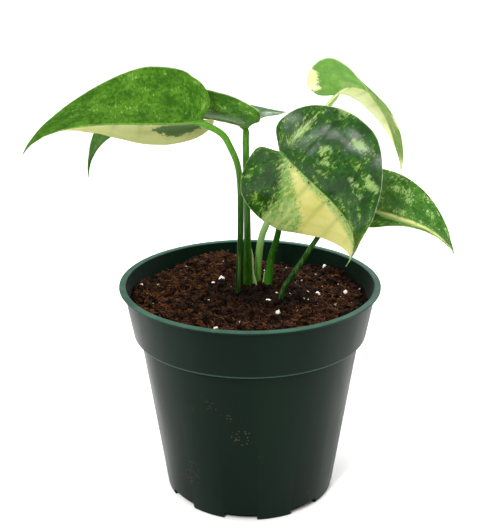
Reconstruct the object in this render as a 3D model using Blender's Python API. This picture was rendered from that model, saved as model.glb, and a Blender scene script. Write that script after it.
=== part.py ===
"""Young variegated monstera in a plastic nursery pot.

The pot is a thin moulded cup with a stepped collar and a rolled-out lip. It is filled with potting mix, and
five petioles stand in it, each carrying one heart-shaped leaf. Lengths are in millimetres until the meshes are made.
The origin is the middle of the pot's underside, +Z is up and the plant is seen from -Y.
"""

import math
import random

import bmesh
import bpy
import numpy as np
from mathutils import Matrix, Vector
from mathutils.bvhtree import BVHTree
from mathutils.geometry import delaunay_2d_cdt

MM = 0.001

# Pot, from the foot to the lip
POT_HEIGHT = 140.0
LIP_RADIUS = 82.0
LIP_THICKNESS = 1.5
COLLAR_TOP_RADIUS = 79.2
COLLAR_FOOT_RADIUS = 73.9
COLLAR_FOOT_Z = 108.0
BODY_TOP_RADIUS = 70.1
BASE_RADIUS = 54.9
BASE_ROUND = 1.2
WALL = 1.4
FLOOR = 1.6
POT_SEGMENTS = 72

# Drain notches through the corner of the base
NOTCH_COUNT = 8
NOTCH_TURN = math.radians(-51.3)
NOTCH_WIDTH = 21.0
NOTCH_HEIGHT = 4.2
NOTCH_DEPTH = 8.0

# Potting mix
CLEARANCE = 0.35
SOIL_EDGE_Z = 127.0
SOIL_MOUND = 2.5
SOIL_ROUGHNESS = 0.8
# Heaps and dips of its surface, as (x, y, spread, rise)
SOIL_HEAPS = ((-24, 62, 16, 7.0), (60, 46, 14, 4.0), (24, 70, 16, -3.0), (-74, 8, 18, 4.0))
SOIL_RINGS = 12
SOIL_SEGMENTS = 60
SOIL_SEED = 7
# Grains and bark chunks on it, as (count, smallest and largest half width, length to width)
LUMPS = ((60, 0.9, 2.2, 1.25), (14, 2.4, 3.6, 2.0))
LUMP_SPACING = 1.0

# Leaves
BLADE_THICKNESS = 0.8
MARGIN_ROWS = 21
POINT_SPACING = 6.5
RIDGE_HALF_WIDTH = 1.8
MIDRIB_RIDGE = 1.3
MIDRIB_STEPS = 48
PETIOLE_SIDES = 10
PETIOLE_STEP = 6.0
FOOT_Z = 100.0
STRAIGHT_TO_Z = 133.0
HOLE_DEPTH = 30.0
SHEATH_LENGTH = 26.0

# Each leaf has: midrib, four Bezier points; up, the way its upper face looks at the petiole; twist along its
# length; half_widths; fold, tip_fold and lobe_fold, the rise of each half from the midrib's plane at the
# petiole, what it is at the tip and what the lobes add; curl, how much each half rolls across its width;
# roll_back, how much the lobes roll over; outline, as lobe length, lobe width, widest place, sinus, shoulder
# and drawn-out tip; petiole, its foot in the soil and the points it passes; radii, at the foot, halfway and at
# the blade. Angles are in degrees.
LEAVES = {
    "leaf_left": {
        "midrib": ((-28, 4, 241), (-54, 1, 235), (-117, -3, 250), (-132, -22, 226)),
        "up": (-0.2, 0.82, 0.54),
        "twist": 2,
        "half_widths": (29.9, 33.9),
        "fold": (50, 28),
        "tip_fold": (55, 23),
        "lobe_fold": (-27, -18),
        "curl": (-66, 15),
        "roll_back": 24,
        "outline": (0.06, 0.37, 0.27, 0.24, 0.19, 0.22),
        "petiole": (
            (-7.4, 5),
            (-6.1, 3, 162),
            (-5.8, 0, 185),
            (-6, -2, 203),
            (-7.5, -2, 215),
            (-11, -1, 224),
            (-17, 1, 233.5),
        ),
        "radii": (2.6, 1.8, 2.0),
        "color": (0.085, 0.24, 0.045, 1.0),
    },
    "leaf_back": {
        "midrib": ((-1, 22, 233), (-48, 44, 246), (-107, 43, 230), (-105, 43, 194)),
        "up": (0.15, -0.25, 0.96),
        "twist": 7,
        "half_widths": (36.1, 31.1),
        "fold": (35, 33),
        "tip_fold": (4, 25),
        "lobe_fold": (30, 3),
        "curl": (-72, 50),
        "roll_back": 23,
        "outline": (0.1, 0.76, 0.36, 0.56, 0.39, 0.23),
        "petiole": ((-1.3, 18), (-1.6, 13, 160), (-1.8, 12, 182), (-2.3, 14, 206), (-2.6, 18, 224)),
        "radii": (3.2, 2.3, 2.1),
        "color": (0.06, 0.19, 0.035, 1.0),
    },
    "leaf_front": {
        "midrib": ((17, -21, 228), (40, -33, 205), (73, -25, 185), (54, -59, 171)),
        "up": (-0.28, -0.93, 0.22),
        "twist": 43,
        "half_widths": (44.7, 46.8),
        "fold": (-15, 8),
        "tip_fold": (-12, 5),
        "lobe_fold": (-6, 13),
        "curl": (1, -40),
        "roll_back": -82,
        "outline": (0.14, 0.28, 0.33, 0.11, 0.21, 0.26),
        "petiole": (
            (11.5, 19),
            (13.5, 15, 149),
            (16, 9, 161),
            (18.5, 4, 176),
            (20, -3, 194),
            (19.5, -11, 210),
        ),
        "radii": (2.9, 2.1, 1.8),
        "color": (0.07, 0.17, 0.04, 1.0),
    },
    "leaf_top": {
        "midrib": ((53, 29, 252), (66, 33, 267), (95, -15, 250), (89, -15, 213)),
        "up": (-0.23, -0.86, 0.45),
        "twist": 27,
        "half_widths": (15.0, 29.4),
        "fold": (58, 56),
        "tip_fold": (67, 58),
        "lobe_fold": (4, -27),
        "curl": (29, 5),
        "roll_back": 21,
        "outline": (0.11, 0.62, 0.14, 0.18, 0.36, 0.11),
        "petiole": ((4.5, 25), (6.5, 20, 157), (11, 18, 173), (19, 17, 195), (31, 18, 220), (42, 21, 238)),
        "radii": (2.4, 2.5, 1.8),
        "color": (0.24, 0.4, 0.09, 1.0),
    },
    "leaf_right": {
        "midrib": ((58, 1, 194), (80, 2, 182), (112, -14, 187), (123, -21, 164)),
        "up": (0.33, -0.75, 0.57),
        "twist": -3,
        "half_widths": (23.4, 25.1),
        "fold": (9, 36),
        "tip_fold": (57, -22),
        "lobe_fold": (11, 29),
        "curl": (24, 23),
        "roll_back": -39,
        "outline": (0.11, 0.67, 0.31, 0.4, 0.3, 0.14),
        "petiole": (
            (18.6, -6.5),
            (20.9, -6.2, 136),
            (24.8, -5.6, 143),
            (31.9, -5, 154),
            (41, -4.5, 169),
            (51, -3, 184),
        ),
        "radii": (2.0, 1.7, 1.5),
        "color": (0.08, 0.22, 0.045, 1.0),
    },
}

POT_COLOR = (0.016, 0.05, 0.035, 1.0)
SOIL_COLOR = (0.05, 0.028, 0.016, 1.0)


def clear_scene():
    for obj in list(bpy.data.objects):
        bpy.data.objects.remove(obj, do_unlink=True)


def make_material(name, color, roughness):
    material = bpy.data.materials.new(name)
    material.use_nodes = True
    shader = material.node_tree.nodes["Principled BSDF"]
    shader.inputs["Base Color"].default_value = color
    shader.inputs["Roughness"].default_value = roughness
    shader.inputs["Metallic"].default_value = 0.0
    return material


def object_from_bmesh(name, bm, material=None):
    """Close off a bmesh as a named object in metres, with its faces outward and shaded smooth."""
    bmesh.ops.recalc_face_normals(bm, faces=bm.faces)
    mesh = bpy.data.meshes.new(name)
    bm.to_mesh(mesh)
    bm.free()
    mesh.transform(Matrix.Scale(MM, 4))
    mesh.polygons.foreach_set("use_smooth", [True] * len(mesh.polygons))
    obj = bpy.data.objects.new(name, mesh)
    bpy.context.scene.collection.objects.link(obj)
    if material is not None:
        mesh.materials.append(material)
    return obj


def apply_boolean(target, other, operation):
    """Join the target with another solid or cut it away, and remove the other."""
    modifier = target.modifiers.new("boolean", "BOOLEAN")
    modifier.operation = operation
    modifier.solver = "EXACT"
    modifier.object = other
    evaluated = target.evaluated_get(bpy.context.evaluated_depsgraph_get())
    plain = target.data
    target.data = bpy.data.meshes.new_from_object(evaluated)
    target.modifiers.remove(modifier)
    bpy.data.meshes.remove(plain)
    bpy.data.objects.remove(other, do_unlink=True)


def spin_profile(profile, segments):
    """Turn a profile of (radius, height) that starts and ends on the axis into a closed solid."""
    bm = bmesh.new()
    verts = [bm.verts.new((r, 0.0, z)) for r, z in profile]
    edges = [bm.edges.new(pair) for pair in zip(verts, verts[1:])]
    bmesh.ops.spin(
        bm,
        geom=verts + edges,
        cent=(0, 0, 0),
        axis=(0, 0, 1),
        angle=math.tau,
        steps=segments,
        use_merge=True,
    )
    bmesh.ops.remove_doubles(bm, verts=bm.verts, dist=1e-4)
    return bm


def inner_radius(z):
    """Radius of the pot's inner wall at a height."""
    if z < COLLAR_FOOT_Z + WALL:
        share = z / COLLAR_FOOT_Z
        return BASE_RADIUS + (BODY_TOP_RADIUS - BASE_RADIUS) * share - WALL
    share = (z - COLLAR_FOOT_Z) / (POT_HEIGHT - COLLAR_FOOT_Z)
    return COLLAR_FOOT_RADIUS + (COLLAR_TOP_RADIUS - COLLAR_FOOT_RADIUS) * share - WALL


def make_pot():
    ledge_z = COLLAR_FOOT_Z + WALL
    lip_under_z = POT_HEIGHT - LIP_THICKNESS
    profile = [
        (0.0, 0.0),
        (BASE_RADIUS - 12.0, 0.0),
        (BASE_RADIUS - BASE_ROUND, 0.0),
        (BASE_RADIUS - 0.35 * BASE_ROUND, 0.3 * BASE_ROUND),
        (BASE_RADIUS, BASE_ROUND),
        (BODY_TOP_RADIUS, COLLAR_FOOT_Z),
        (COLLAR_FOOT_RADIUS - 0.5, COLLAR_FOOT_Z),
        (COLLAR_FOOT_RADIUS, COLLAR_FOOT_Z + 0.6),
        (COLLAR_TOP_RADIUS, lip_under_z),
        (LIP_RADIUS - 0.5, lip_under_z),
        (LIP_RADIUS, lip_under_z + 0.4),
        (LIP_RADIUS, POT_HEIGHT - 0.5),
        (LIP_RADIUS - 0.6, POT_HEIGHT),
        (inner_radius(POT_HEIGHT) + 0.9, POT_HEIGHT),
        (inner_radius(POT_HEIGHT), POT_HEIGHT - 0.8),
        (inner_radius(ledge_z), ledge_z),
        (inner_radius(ledge_z - 0.01), ledge_z),
        (inner_radius(FLOOR + 2.0), FLOOR + 2.0),
        (inner_radius(FLOOR) - 1.2, FLOOR),
        (0.0, FLOOR),
    ]
    pot = object_from_bmesh("pot", spin_profile(profile, POT_SEGMENTS), make_material("pot", POT_COLOR, 0.45))
    notches = bmesh.new()
    size = Matrix.Diagonal((NOTCH_DEPTH * 2, NOTCH_WIDTH, NOTCH_HEIGHT * 2, 1.0))
    for index in range(NOTCH_COUNT):
        turn = Matrix.Rotation(NOTCH_TURN - math.pi / 2 + math.tau * index / NOTCH_COUNT, 4, "Z")
        place = turn @ Matrix.Translation((BASE_RADIUS + 1.0, 0.0, 0.0))
        bmesh.ops.create_cube(notches, size=1.0, matrix=place @ size)
    apply_boolean(pot, object_from_bmesh("notches", notches), "DIFFERENCE")


def soil_height(x, y):
    """Height of the potting mix: a low mound with heaps and a dip against the wall and an uneven surface."""
    radius = math.hypot(x, y) / inner_radius(SOIL_EDGE_Z)
    height = SOIL_EDGE_Z + SOIL_MOUND * (1.0 - radius**2)
    for centre_x, centre_y, spread, rise in SOIL_HEAPS:
        height += rise * math.exp(-((x - centre_x) ** 2 + (y - centre_y) ** 2) / (2 * spread**2))
    uneven = (
        math.sin(0.21 * x + 1.3) * math.cos(0.17 * y - 0.6)
        + 0.7 * math.sin(0.37 * y + 0.11 * x)
        + 0.5 * math.cos(0.47 * x - 0.29 * y + 2.0)
    )
    return height + SOIL_ROUGHNESS * uneven


def make_soil(holes):
    """The filling, from the pot's floor to its uneven top, with grains and bark in it and a hole for each stem."""
    rng = random.Random(SOIL_SEED)
    ledge_z = COLLAR_FOOT_Z + WALL
    under = [
        (inner_radius(FLOOR) - CLEARANCE - 1.8, FLOOR + CLEARANCE),
        (inner_radius(FLOOR + 3.0) - CLEARANCE, FLOOR + 3.0),
        (inner_radius(ledge_z - 0.01) - CLEARANCE, ledge_z + CLEARANCE),
        (inner_radius(ledge_z) - CLEARANCE, ledge_z + CLEARANCE),
    ]
    bm = bmesh.new()
    rings = []
    for r, z in under:
        rings.append([bm.verts.new(ring_point(r, index, z)) for index in range(SOIL_SEGMENTS)])
    edge_r = inner_radius(SOIL_EDGE_Z - 4.0) - CLEARANCE
    for ring in range(SOIL_RINGS, 0, -1):
        row = []
        for index in range(SOIL_SEGMENTS):
            x, y, _ = ring_point(edge_r * ring / SOIL_RINGS, index, 0.0)
            grit = rng.uniform(-0.5, 0.5) * SOIL_ROUGHNESS * (ring / SOIL_RINGS)
            row.append(bm.verts.new((x, y, soil_height(x, y) + grit)))
        rings.append(row)
    for lower, upper in zip(rings, rings[1:]):
        for index in range(SOIL_SEGMENTS):
            after = (index + 1) % SOIL_SEGMENTS
            bm.faces.new((lower[index], lower[after], upper[after], upper[index]))
    bottom = bm.verts.new((0, 0, FLOOR + CLEARANCE))
    top = bm.verts.new((0, 0, soil_height(0, 0)))
    for index in range(SOIL_SEGMENTS):
        after = (index + 1) % SOIL_SEGMENTS
        bm.faces.new((bottom, rings[0][after], rings[0][index]))
        bm.faces.new((top, rings[-1][index], rings[-1][after]))
    surface = BVHTree.FromBMesh(bm)
    soil = object_from_bmesh("soil", bm, make_material("soil", SOIL_COLOR, 0.95))

    lumps = bmesh.new()
    placed = list(holes)
    for count, smallest, largest, stretch in LUMPS:
        made = 0
        while made < count:
            size = rng.uniform(smallest, largest)
            away = (edge_r - 3.0 - size * stretch) * math.sqrt(rng.random())
            turn = rng.uniform(0, math.tau)
            x, y = away * math.cos(turn), away * math.sin(turn)
            reach = size * stretch + LUMP_SPACING
            if any(math.hypot(x - a, y - b) < reach + r for a, b, r in placed):
                continue
            placed.append((x, y, size * stretch))
            on_top = surface.ray_cast(Vector((x, y, POT_HEIGHT)), Vector((0, 0, -1)))[0]
            shape = Matrix.Diagonal((size * stretch, size, size * 0.8, 1.0))
            spot = Matrix.Translation(on_top) @ Matrix.Rotation(turn * 5, 4, "Z")
            bmesh.ops.create_icosphere(lumps, subdivisions=1, radius=1.0, matrix=spot @ shape)
            made += 1
    apply_boolean(soil, object_from_bmesh("lumps", lumps), "UNION")

    drills = bmesh.new()
    for x, y, r in holes:
        bmesh.ops.create_cone(
            drills,
            cap_ends=True,
            segments=2 * PETIOLE_SIDES,
            radius1=r + CLEARANCE,
            radius2=r + CLEARANCE,
            depth=HOLE_DEPTH * 2,
            matrix=Matrix.Translation((x, y, FOOT_Z - CLEARANCE + HOLE_DEPTH)),
        )
    apply_boolean(soil, object_from_bmesh("drills", drills), "DIFFERENCE")


def ring_point(radius, index, z):
    angle = math.tau * index / SOIL_SEGMENTS
    return radius * math.cos(angle), radius * math.sin(angle), z


def bezier(points, t):
    """Points of a cubic Bezier curve at the parameters t."""
    a, b, c, d = np.asarray(points, float)
    t = np.asarray(t, float)[:, None]
    return (1 - t) ** 3 * a + 3 * (1 - t) ** 2 * t * b + 3 * (1 - t) * t**2 * c + t**3 * d


def evenly(points, count):
    """The same path with its points spaced evenly, and its length."""
    steps = np.linalg.norm(np.diff(points, axis=0), axis=1)
    along = np.concatenate([[0.0], np.cumsum(steps)])
    wanted = np.linspace(0.0, along[-1], count)
    return np.stack([np.interp(wanted, along, points[:, k]) for k in range(points.shape[1])], -1), along[-1]


def half_outline(outline, rows):
    """One half of a heart-shaped blade from the sinus to the tip, as shares of its length and half width."""
    lobe, lobe_width, widest, sinus, shoulder, drawn_out = outline
    parts = (
        ((0, 0), (-0.55 * lobe, sinus), (-lobe, 0.45 * lobe_width), (-lobe, lobe_width)),
        ((-lobe, lobe_width), (-lobe, lobe_width + 0.75 * (1 - lobe_width)), (0.35 * widest, 1), (widest, 1)),
        ((widest, 1), (widest + shoulder, 1), (1 - drawn_out, 0.1), (1, 0)),
    )
    t = np.linspace(0, 1, 60)
    margin = np.concatenate([bezier(part, t)[(0 if i == 0 else 1) :] for i, part in enumerate(parts)])
    true_shape = np.array([1.0, 0.45])
    return evenly(margin * true_shape, rows)[0] / true_shape


class Blade:
    """A flat heart-shaped outline laid on a bent, twisted midrib."""

    def __init__(self, sizes):
        self.sizes = sizes
        self.path, self.length = evenly(bezier(sizes["midrib"], np.linspace(0, 1, 401)), MIDRIB_STEPS)
        tangents = np.gradient(self.path, axis=0)
        self.tangents = tangents / np.linalg.norm(tangents, axis=1)[:, None]
        normals = np.zeros_like(self.path)
        carried = np.asarray(sizes["up"], float)
        for i, tangent in enumerate(self.tangents):
            carried = carried - carried.dot(tangent) * tangent
            carried = carried / np.linalg.norm(carried)
            normals[i] = carried
        turn = math.radians(sizes["twist"]) * np.linspace(0, 1, MIDRIB_STEPS)[:, None]
        self.normals = normals * np.cos(turn) + np.cross(self.tangents, normals) * np.sin(turn)

    def axis(self, s):
        """Point, tangent and upward direction at s along the midrib; behind the petiole it rolls over."""
        place = min(max(s / self.length, 0.0), 1.0) * (MIDRIB_STEPS - 1)
        i = min(int(place), MIDRIB_STEPS - 2)
        share = place - i
        point, tangent, up = (
            row[i] * (1 - share) + row[i + 1] * share for row in (self.path, self.tangents, self.normals)
        )
        if s < 0:
            bend = math.radians(self.sizes["roll_back"]) / self.length
            angle = -s * bend
            point = point - tangent * math.sin(angle) / bend + up * (1 - math.cos(angle)) / bend
            tangent, up = (
                tangent * math.cos(angle) - up * math.sin(angle),
                up * math.cos(angle) + tangent * math.sin(angle),
            )
        return point, tangent, up

    def point(self, s, w, half):
        """Place of the blade at s along the midrib and w across it, on half 0 or 1."""
        point, tangent, up = self.axis(s)
        across = np.cross(tangent, up) * (1 if half == 0 else -1)
        share = s / self.length
        fold, tip_fold, lobe_fold, curl = (
            math.radians(self.sizes[key][half]) for key in ("fold", "tip_fold", "lobe_fold", "curl")
        )
        fold += (tip_fold - fold) * min(max(share, 0.0), 1.0) + lobe_fold * min(max(-share, 0.0), 1.0)
        bend = curl / self.sizes["half_widths"][half]
        out = (math.sin(fold + bend * w) - math.sin(fold)) / bend
        rise = (math.cos(fold) - math.cos(fold + bend * w)) / bend
        return point + across * out + up * rise


def blade_plan(sizes, length):
    """The flat blade as triangles over its margin, its midrib and evenly spread points."""
    margin = half_outline(sizes["outline"], MARGIN_ROWS)
    near, far = (margin * (length, width * sign) for width, sign in zip(sizes["half_widths"], (1, -1)))
    border = [tuple(p) for p in near] + [tuple(p) for p in far[-2:0:-1]]
    points = list(border)
    edges = [(i, (i + 1) % len(border)) for i in range(len(border))]
    tip = len(near) - 1
    rib = [0]
    for s in np.linspace(0.0, length, int(length / POINT_SPACING) + 1)[1:-1]:
        rib.append(len(points))
        points.append((s, 0.0))
    rib.append(tip)
    edges += list(zip(rib, rib[1:]))
    for s in np.arange(RIDGE_HALF_WIDTH, 0.8 * length, POINT_SPACING):
        points += [(s, RIDGE_HALF_WIDTH), (s, -RIDGE_HALF_WIDTH)]
    reach = max(sizes["half_widths"])
    rows = int(reach / POINT_SPACING) + 1
    for row in [r for r in range(-rows, rows + 1) if r]:
        w = row * POINT_SPACING + math.copysign(RIDGE_HALF_WIDTH, row)
        for s in np.arange(-0.3 * length + 0.5 * POINT_SPACING * (row % 2), length, POINT_SPACING):
            clear = min(math.hypot(s - a, w - b) for a, b in border)
            if clear > 0.6 * POINT_SPACING and inside(border, s, w):
                points.append((s, w))
    flat = [Vector(p) for p in points]
    verts, _, faces = delaunay_2d_cdt(flat, edges, [list(range(len(border)))], 1, 1e-4)[:3]
    return [tuple(v) for v in verts], [tuple(f) for f in faces]


def inside(border, x, y):
    """Whether a point lies in a closed outline."""
    crossings = 0
    for (x0, y0), (x1, y1) in zip(border, border[1:] + border[:1]):
        if (y0 > y) != (y1 > y) and x < x0 + (x1 - x0) * (y - y0) / (y1 - y0):
            crossings += 1
    return crossings % 2 == 1


def add_blade(bm, sizes):
    """A thin closed blade with the midrib raised on its underside."""
    blade = Blade(sizes)
    plan, faces = blade_plan(sizes, blade.length)
    points = np.array([blade.point(s, abs(w), 0 if w >= 0 else 1) for s, w in plan])
    normals = np.zeros_like(points)
    for face in faces:
        a, b, c = points[list(face)]
        turned = np.cross(b - a, c - a)
        for i in face:
            normals[i] += turned
    normals /= np.linalg.norm(normals, axis=1)[:, None]
    tops = [bm.verts.new(Vector(p + n * BLADE_THICKNESS / 2)) for p, n in zip(points, -normals)]
    unders = []
    for point, normal, (s, w) in zip(points, normals, plan):
        share = min(max(s / blade.length, 0.0), 1.0)
        ridge = MIDRIB_RIDGE * (1.0 - share) ** 0.8 if abs(w) < 1e-3 else 0.0
        unders.append(bm.verts.new(Vector(point + normal * (BLADE_THICKNESS / 2 + ridge))))
    edge_uses = {}
    for a, b, c in faces:
        bm.faces.new((tops[a], tops[b], tops[c]))
        bm.faces.new((unders[a], unders[c], unders[b]))
        for pair in ((a, b), (b, c), (c, a)):
            edge_uses.setdefault(tuple(sorted(pair)), []).append(pair)
    for uses in edge_uses.values():
        if len(uses) == 1:
            a, b = uses[0]
            bm.faces.new((tops[a], unders[a], unders[b], tops[b]))


def smooth_path(points, count_per_span=12):
    """A Catmull-Rom curve through the points."""
    p = np.asarray(points, float)
    padded = np.concatenate([[2 * p[0] - p[1]], p, [2 * p[-1] - p[-2]]])
    out = []
    for i in range(len(p) - 1):
        a, b, c, d = padded[i : i + 4]
        for f in np.arange(count_per_span) / count_per_span:
            squared = (2 * a - 5 * b + 4 * c - d) * f**2
            cubed = (3 * b - a - 3 * c + d) * f**3
            out.append(0.5 * (2 * b + (c - a) * f + squared + cubed))
    out.append(p[-1])
    return np.array(out)


def petiole_path(sizes):
    """From the foot in its hole, straight up out of the soil, to the start of the midrib."""
    x, y = sizes["petiole"][0]
    blade = Blade(sizes)
    joint = blade.path[0] - blade.normals[0] * 1.2
    under = blade.path[0] + blade.tangents[0] * 2.0 - blade.normals[0] * 1.0
    bent = smooth_path([(x, y, STRAIGHT_TO_Z), *sizes["petiole"][1:], joint, under])
    bent, length = evenly(bent, 200)
    bent, _ = evenly(bent, int(length / PETIOLE_STEP) + 1)
    straight = [(x, y, z) for z in (FOOT_Z, 0.5 * (FOOT_Z + STRAIGHT_TO_Z), STRAIGHT_TO_Z - 2.0)]
    return np.concatenate([straight, bent[1:]])


def add_petiole(bm, sizes):
    """A round stalk along its path, thick in the soil and thinner to the blade."""
    path = petiole_path(sizes)
    foot, middle, end = sizes["radii"]
    tangents = np.gradient(path, axis=0)
    tangents /= np.linalg.norm(tangents, axis=1)[:, None]
    side = np.array([1.0, 0.0, 0.0])
    rings = []
    for i, (place, tangent) in enumerate(zip(path, tangents)):
        if i < 3:
            tangent = np.array([0.0, 0.0, 1.0])
        side = side - side.dot(tangent) * tangent
        side /= np.linalg.norm(side)
        other = np.cross(tangent, side)
        above = max(place[2] - STRAIGHT_TO_Z + 2.0, 0.0)
        share = i / (len(path) - 1)
        radius = middle + (end - middle) * share + (foot - middle) * math.exp(-((above / SHEATH_LENGTH) ** 2))
        ring = []
        for a in np.arange(PETIOLE_SIDES) * math.tau / PETIOLE_SIDES:
            ring.append(bm.verts.new(Vector(place + radius * (math.cos(a) * side + math.sin(a) * other))))
        rings.append(ring)
    for lower, upper in zip(rings, rings[1:]):
        for i in range(PETIOLE_SIDES):
            j = (i + 1) % PETIOLE_SIDES
            bm.faces.new((lower[i], lower[j], upper[j], upper[i]))
    bm.faces.new(rings[0][::-1])
    bm.faces.new(rings[-1])


def make_leaf(name, sizes):
    bm = bmesh.new()
    add_blade(bm, sizes)
    leaf = object_from_bmesh(name, bm, make_material(name, sizes["color"], 0.4))
    bm = bmesh.new()
    add_petiole(bm, sizes)
    apply_boolean(leaf, object_from_bmesh("petiole", bm), "UNION")


def main():
    clear_scene()
    make_pot()
    holes = []
    for name, sizes in LEAVES.items():
        make_leaf(name, sizes)
        x, y = sizes["petiole"][0]
        holes.append((x, y, sizes["radii"][0]))
    make_soil(holes)


if __name__ == "__main__":
    main()
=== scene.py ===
"""Young variegated monstera in a plastic nursery pot: the finished look around its solid model.

Run as a script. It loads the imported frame, builds each piece with one operator, sets the stage and hands over.
Lengths inside the shape functions are millimetres; meshes are made in metres. +Z is up and -Y faces the camera.
"""

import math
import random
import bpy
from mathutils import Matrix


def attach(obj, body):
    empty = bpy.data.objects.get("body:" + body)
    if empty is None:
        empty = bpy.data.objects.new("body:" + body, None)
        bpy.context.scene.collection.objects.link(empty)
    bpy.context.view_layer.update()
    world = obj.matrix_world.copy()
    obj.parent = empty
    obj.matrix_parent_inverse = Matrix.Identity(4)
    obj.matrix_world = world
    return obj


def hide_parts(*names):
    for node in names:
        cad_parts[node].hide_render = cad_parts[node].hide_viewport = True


bl_info = {
    "name": "Potted Monstera",
    "version": (1, 0, 0),
    "blender": (4, 5, 0),
    "location": "View3D > Sidebar > Monstera",
    "description": "Builds the leaves, stalks, pot and potting mix of a potted monstera",
    "category": "Object",
}

from functools import partial

import bmesh
import bpy
import numpy as np
from bpy.props import FloatProperty, FloatVectorProperty, IntProperty, PointerProperty
from mathutils import Matrix, Vector, noise
from mathutils.geometry import delaunay_2d_cdt
from mathutils.kdtree import KDTree

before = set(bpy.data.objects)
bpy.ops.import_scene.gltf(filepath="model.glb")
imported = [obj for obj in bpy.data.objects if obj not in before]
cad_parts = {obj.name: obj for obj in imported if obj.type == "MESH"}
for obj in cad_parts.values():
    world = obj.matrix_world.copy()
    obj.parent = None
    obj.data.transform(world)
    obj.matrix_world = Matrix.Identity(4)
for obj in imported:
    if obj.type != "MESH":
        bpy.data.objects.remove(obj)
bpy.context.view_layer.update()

MM = 0.001
BODY = "root"

# Sizes that the solid model has too
POT_HEIGHT = 140.0
LIP_RADIUS = 82.0
LIP_THICKNESS = 1.5
COLLAR_TOP_RADIUS = 79.2
COLLAR_FOOT_RADIUS = 73.9
COLLAR_FOOT_Z = 108.0
BODY_TOP_RADIUS = 70.1
BASE_RADIUS = 54.9
WALL = 1.4
FLOOR = 1.6
NOTCH_COUNT = 8
NOTCH_TURN = math.radians(-51.3)
NOTCH_WIDTH = 21.0
NOTCH_HEIGHT = 4.2
NOTCH_DEPTH = 8.0
CLEARANCE = 0.35
SOIL_EDGE_Z = 127.0
SOIL_MOUND = 2.5
SOIL_ROUGHNESS = 0.8
SOIL_HEAPS = ((-24, 62, 16, 7.0), (60, 46, 14, 4.0), (24, 70, 16, -3.0), (-74, 8, 18, 4.0))
MIDRIB_STEPS = 96
FOOT_Z = 100.0
SHEATH_LENGTH = 26.0

# Sizes of the look alone. The petioles stand straight up to the first, and the corners of the pot's profile are
# rounded by their numbers in it.
STRAIGHT_TO_Z = 124.0
CLOD_RISE = 1.5
CRUMB_RISE = 0.8
CORNER_RADII = {2: 1.4, 3: 0.4, 4: 0.7, 5: 0.6, 6: 0.6, 7: 0.65, 8: 0.9, 9: 0.6, 10: 0.6, 11: 1.5}
OTHER_CORNERS = 0.3
PERLITE_SUNK = 0.35
PERLITE_LUMPS = 0.42

# A blade's relief: side veins, slow waves, ripples, quilting between the veins, and the midrib's groove and ridge
VEIN_WIDTH = 0.011
VEIN_UNDER = 0.6
WAVE_HEIGHT = 1.1
RIPPLE_HEIGHT = 0.22
QUILTING_DEPTH = 0.10
GROOVE_DEPTH, GROOVE_WIDTH = 0.45, 0.8
RIDGE_DEPTH, RIDGE_WIDTH = 1.2, 0.85
MARGIN_STARTS = 0.93

# A petiole's end runs in under the midrib, thinning over its last part
END_INSIDE = 1.5
END_GAP = 0.3
UNDER_INSIDE = 6.0
UNDER_DEPTH = 1.1
TAPER_SHARE = 0.05

# Fineness of the meshes
CURVE_STEPS = 401
SPAN_STEPS = 16
CORNER_STEPS = 4
SOIL_RINGS = 92
SOIL_SEGMENTS = 300
SCATTER_GRID = 70
SCATTER_INSET = 2.2
MARGIN_ROWS = 110
WIDEST_HALF = 60.0
POINT_SPACING = 1.15
RIB_SPACING = 0.9
RIB_ROWS = (0.5, 1.1, 1.9)
VEIN_ROWS = 140
VEIN_COLUMNS = 44
SIDE_VEINS = np.linspace(0.06, 0.92, 9)
MARK_SOFTNESS = 0.2
MARK_STRETCH = (2.0, 1.0)
STALK_RINGS = 130
STALK_SIDES = 22
SHEATH_COLUMNS = 5
SHEATH_THICKNESS = 0.45
LEAF_SHARP_ANGLE = math.radians(50)
POT_SHARP_ANGLE = math.radians(40)

# Membranes on the petioles' feet, as (lowest, highest, start angle, wrap angle, width)
SHEATHS = {
    "leaf_back": ((125.0, 157.0, 0.0, -0.25, 3.5),),
    "leaf_front": ((126.0, 140.0, 3.0, 0.3, 2.7),),
}

# Lights, as (name, kind, place, size, power). The sun, whose size is an angle, is the key light. It shows in no
# reflection: the crisp highlights come from the pane beside it.
LIGHTS = (
    ("window_light", "SUN", (-0.34, -0.6, 0.95), (math.radians(20), 0.0), 2.0),
    ("window_pane", "AREA", (-0.42, -0.98, 0.74), (0.09, 0.13), 5.2),
    ("top_softbox", "AREA", (-0.1, 0.3, 1.2), (0.45, 0.3), 7.0),
    ("back_softbox", "AREA", (0.35, 0.8, 0.85), (0.5, 0.4), 9.0),
    ("left_softbox", "AREA", (-1.2, 0.1, 0.6), (0.5, 0.9), 3.0),
    ("right_softbox", "AREA", (1.2, 0.3, 0.6), (0.5, 0.9), 3.0),
)
SKY_AT_HORIZON = 0.3
SKY_OVERHEAD = 0.9
FLOOR_REACH = 8000.0
CAMERA_REACH = 100.0

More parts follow.
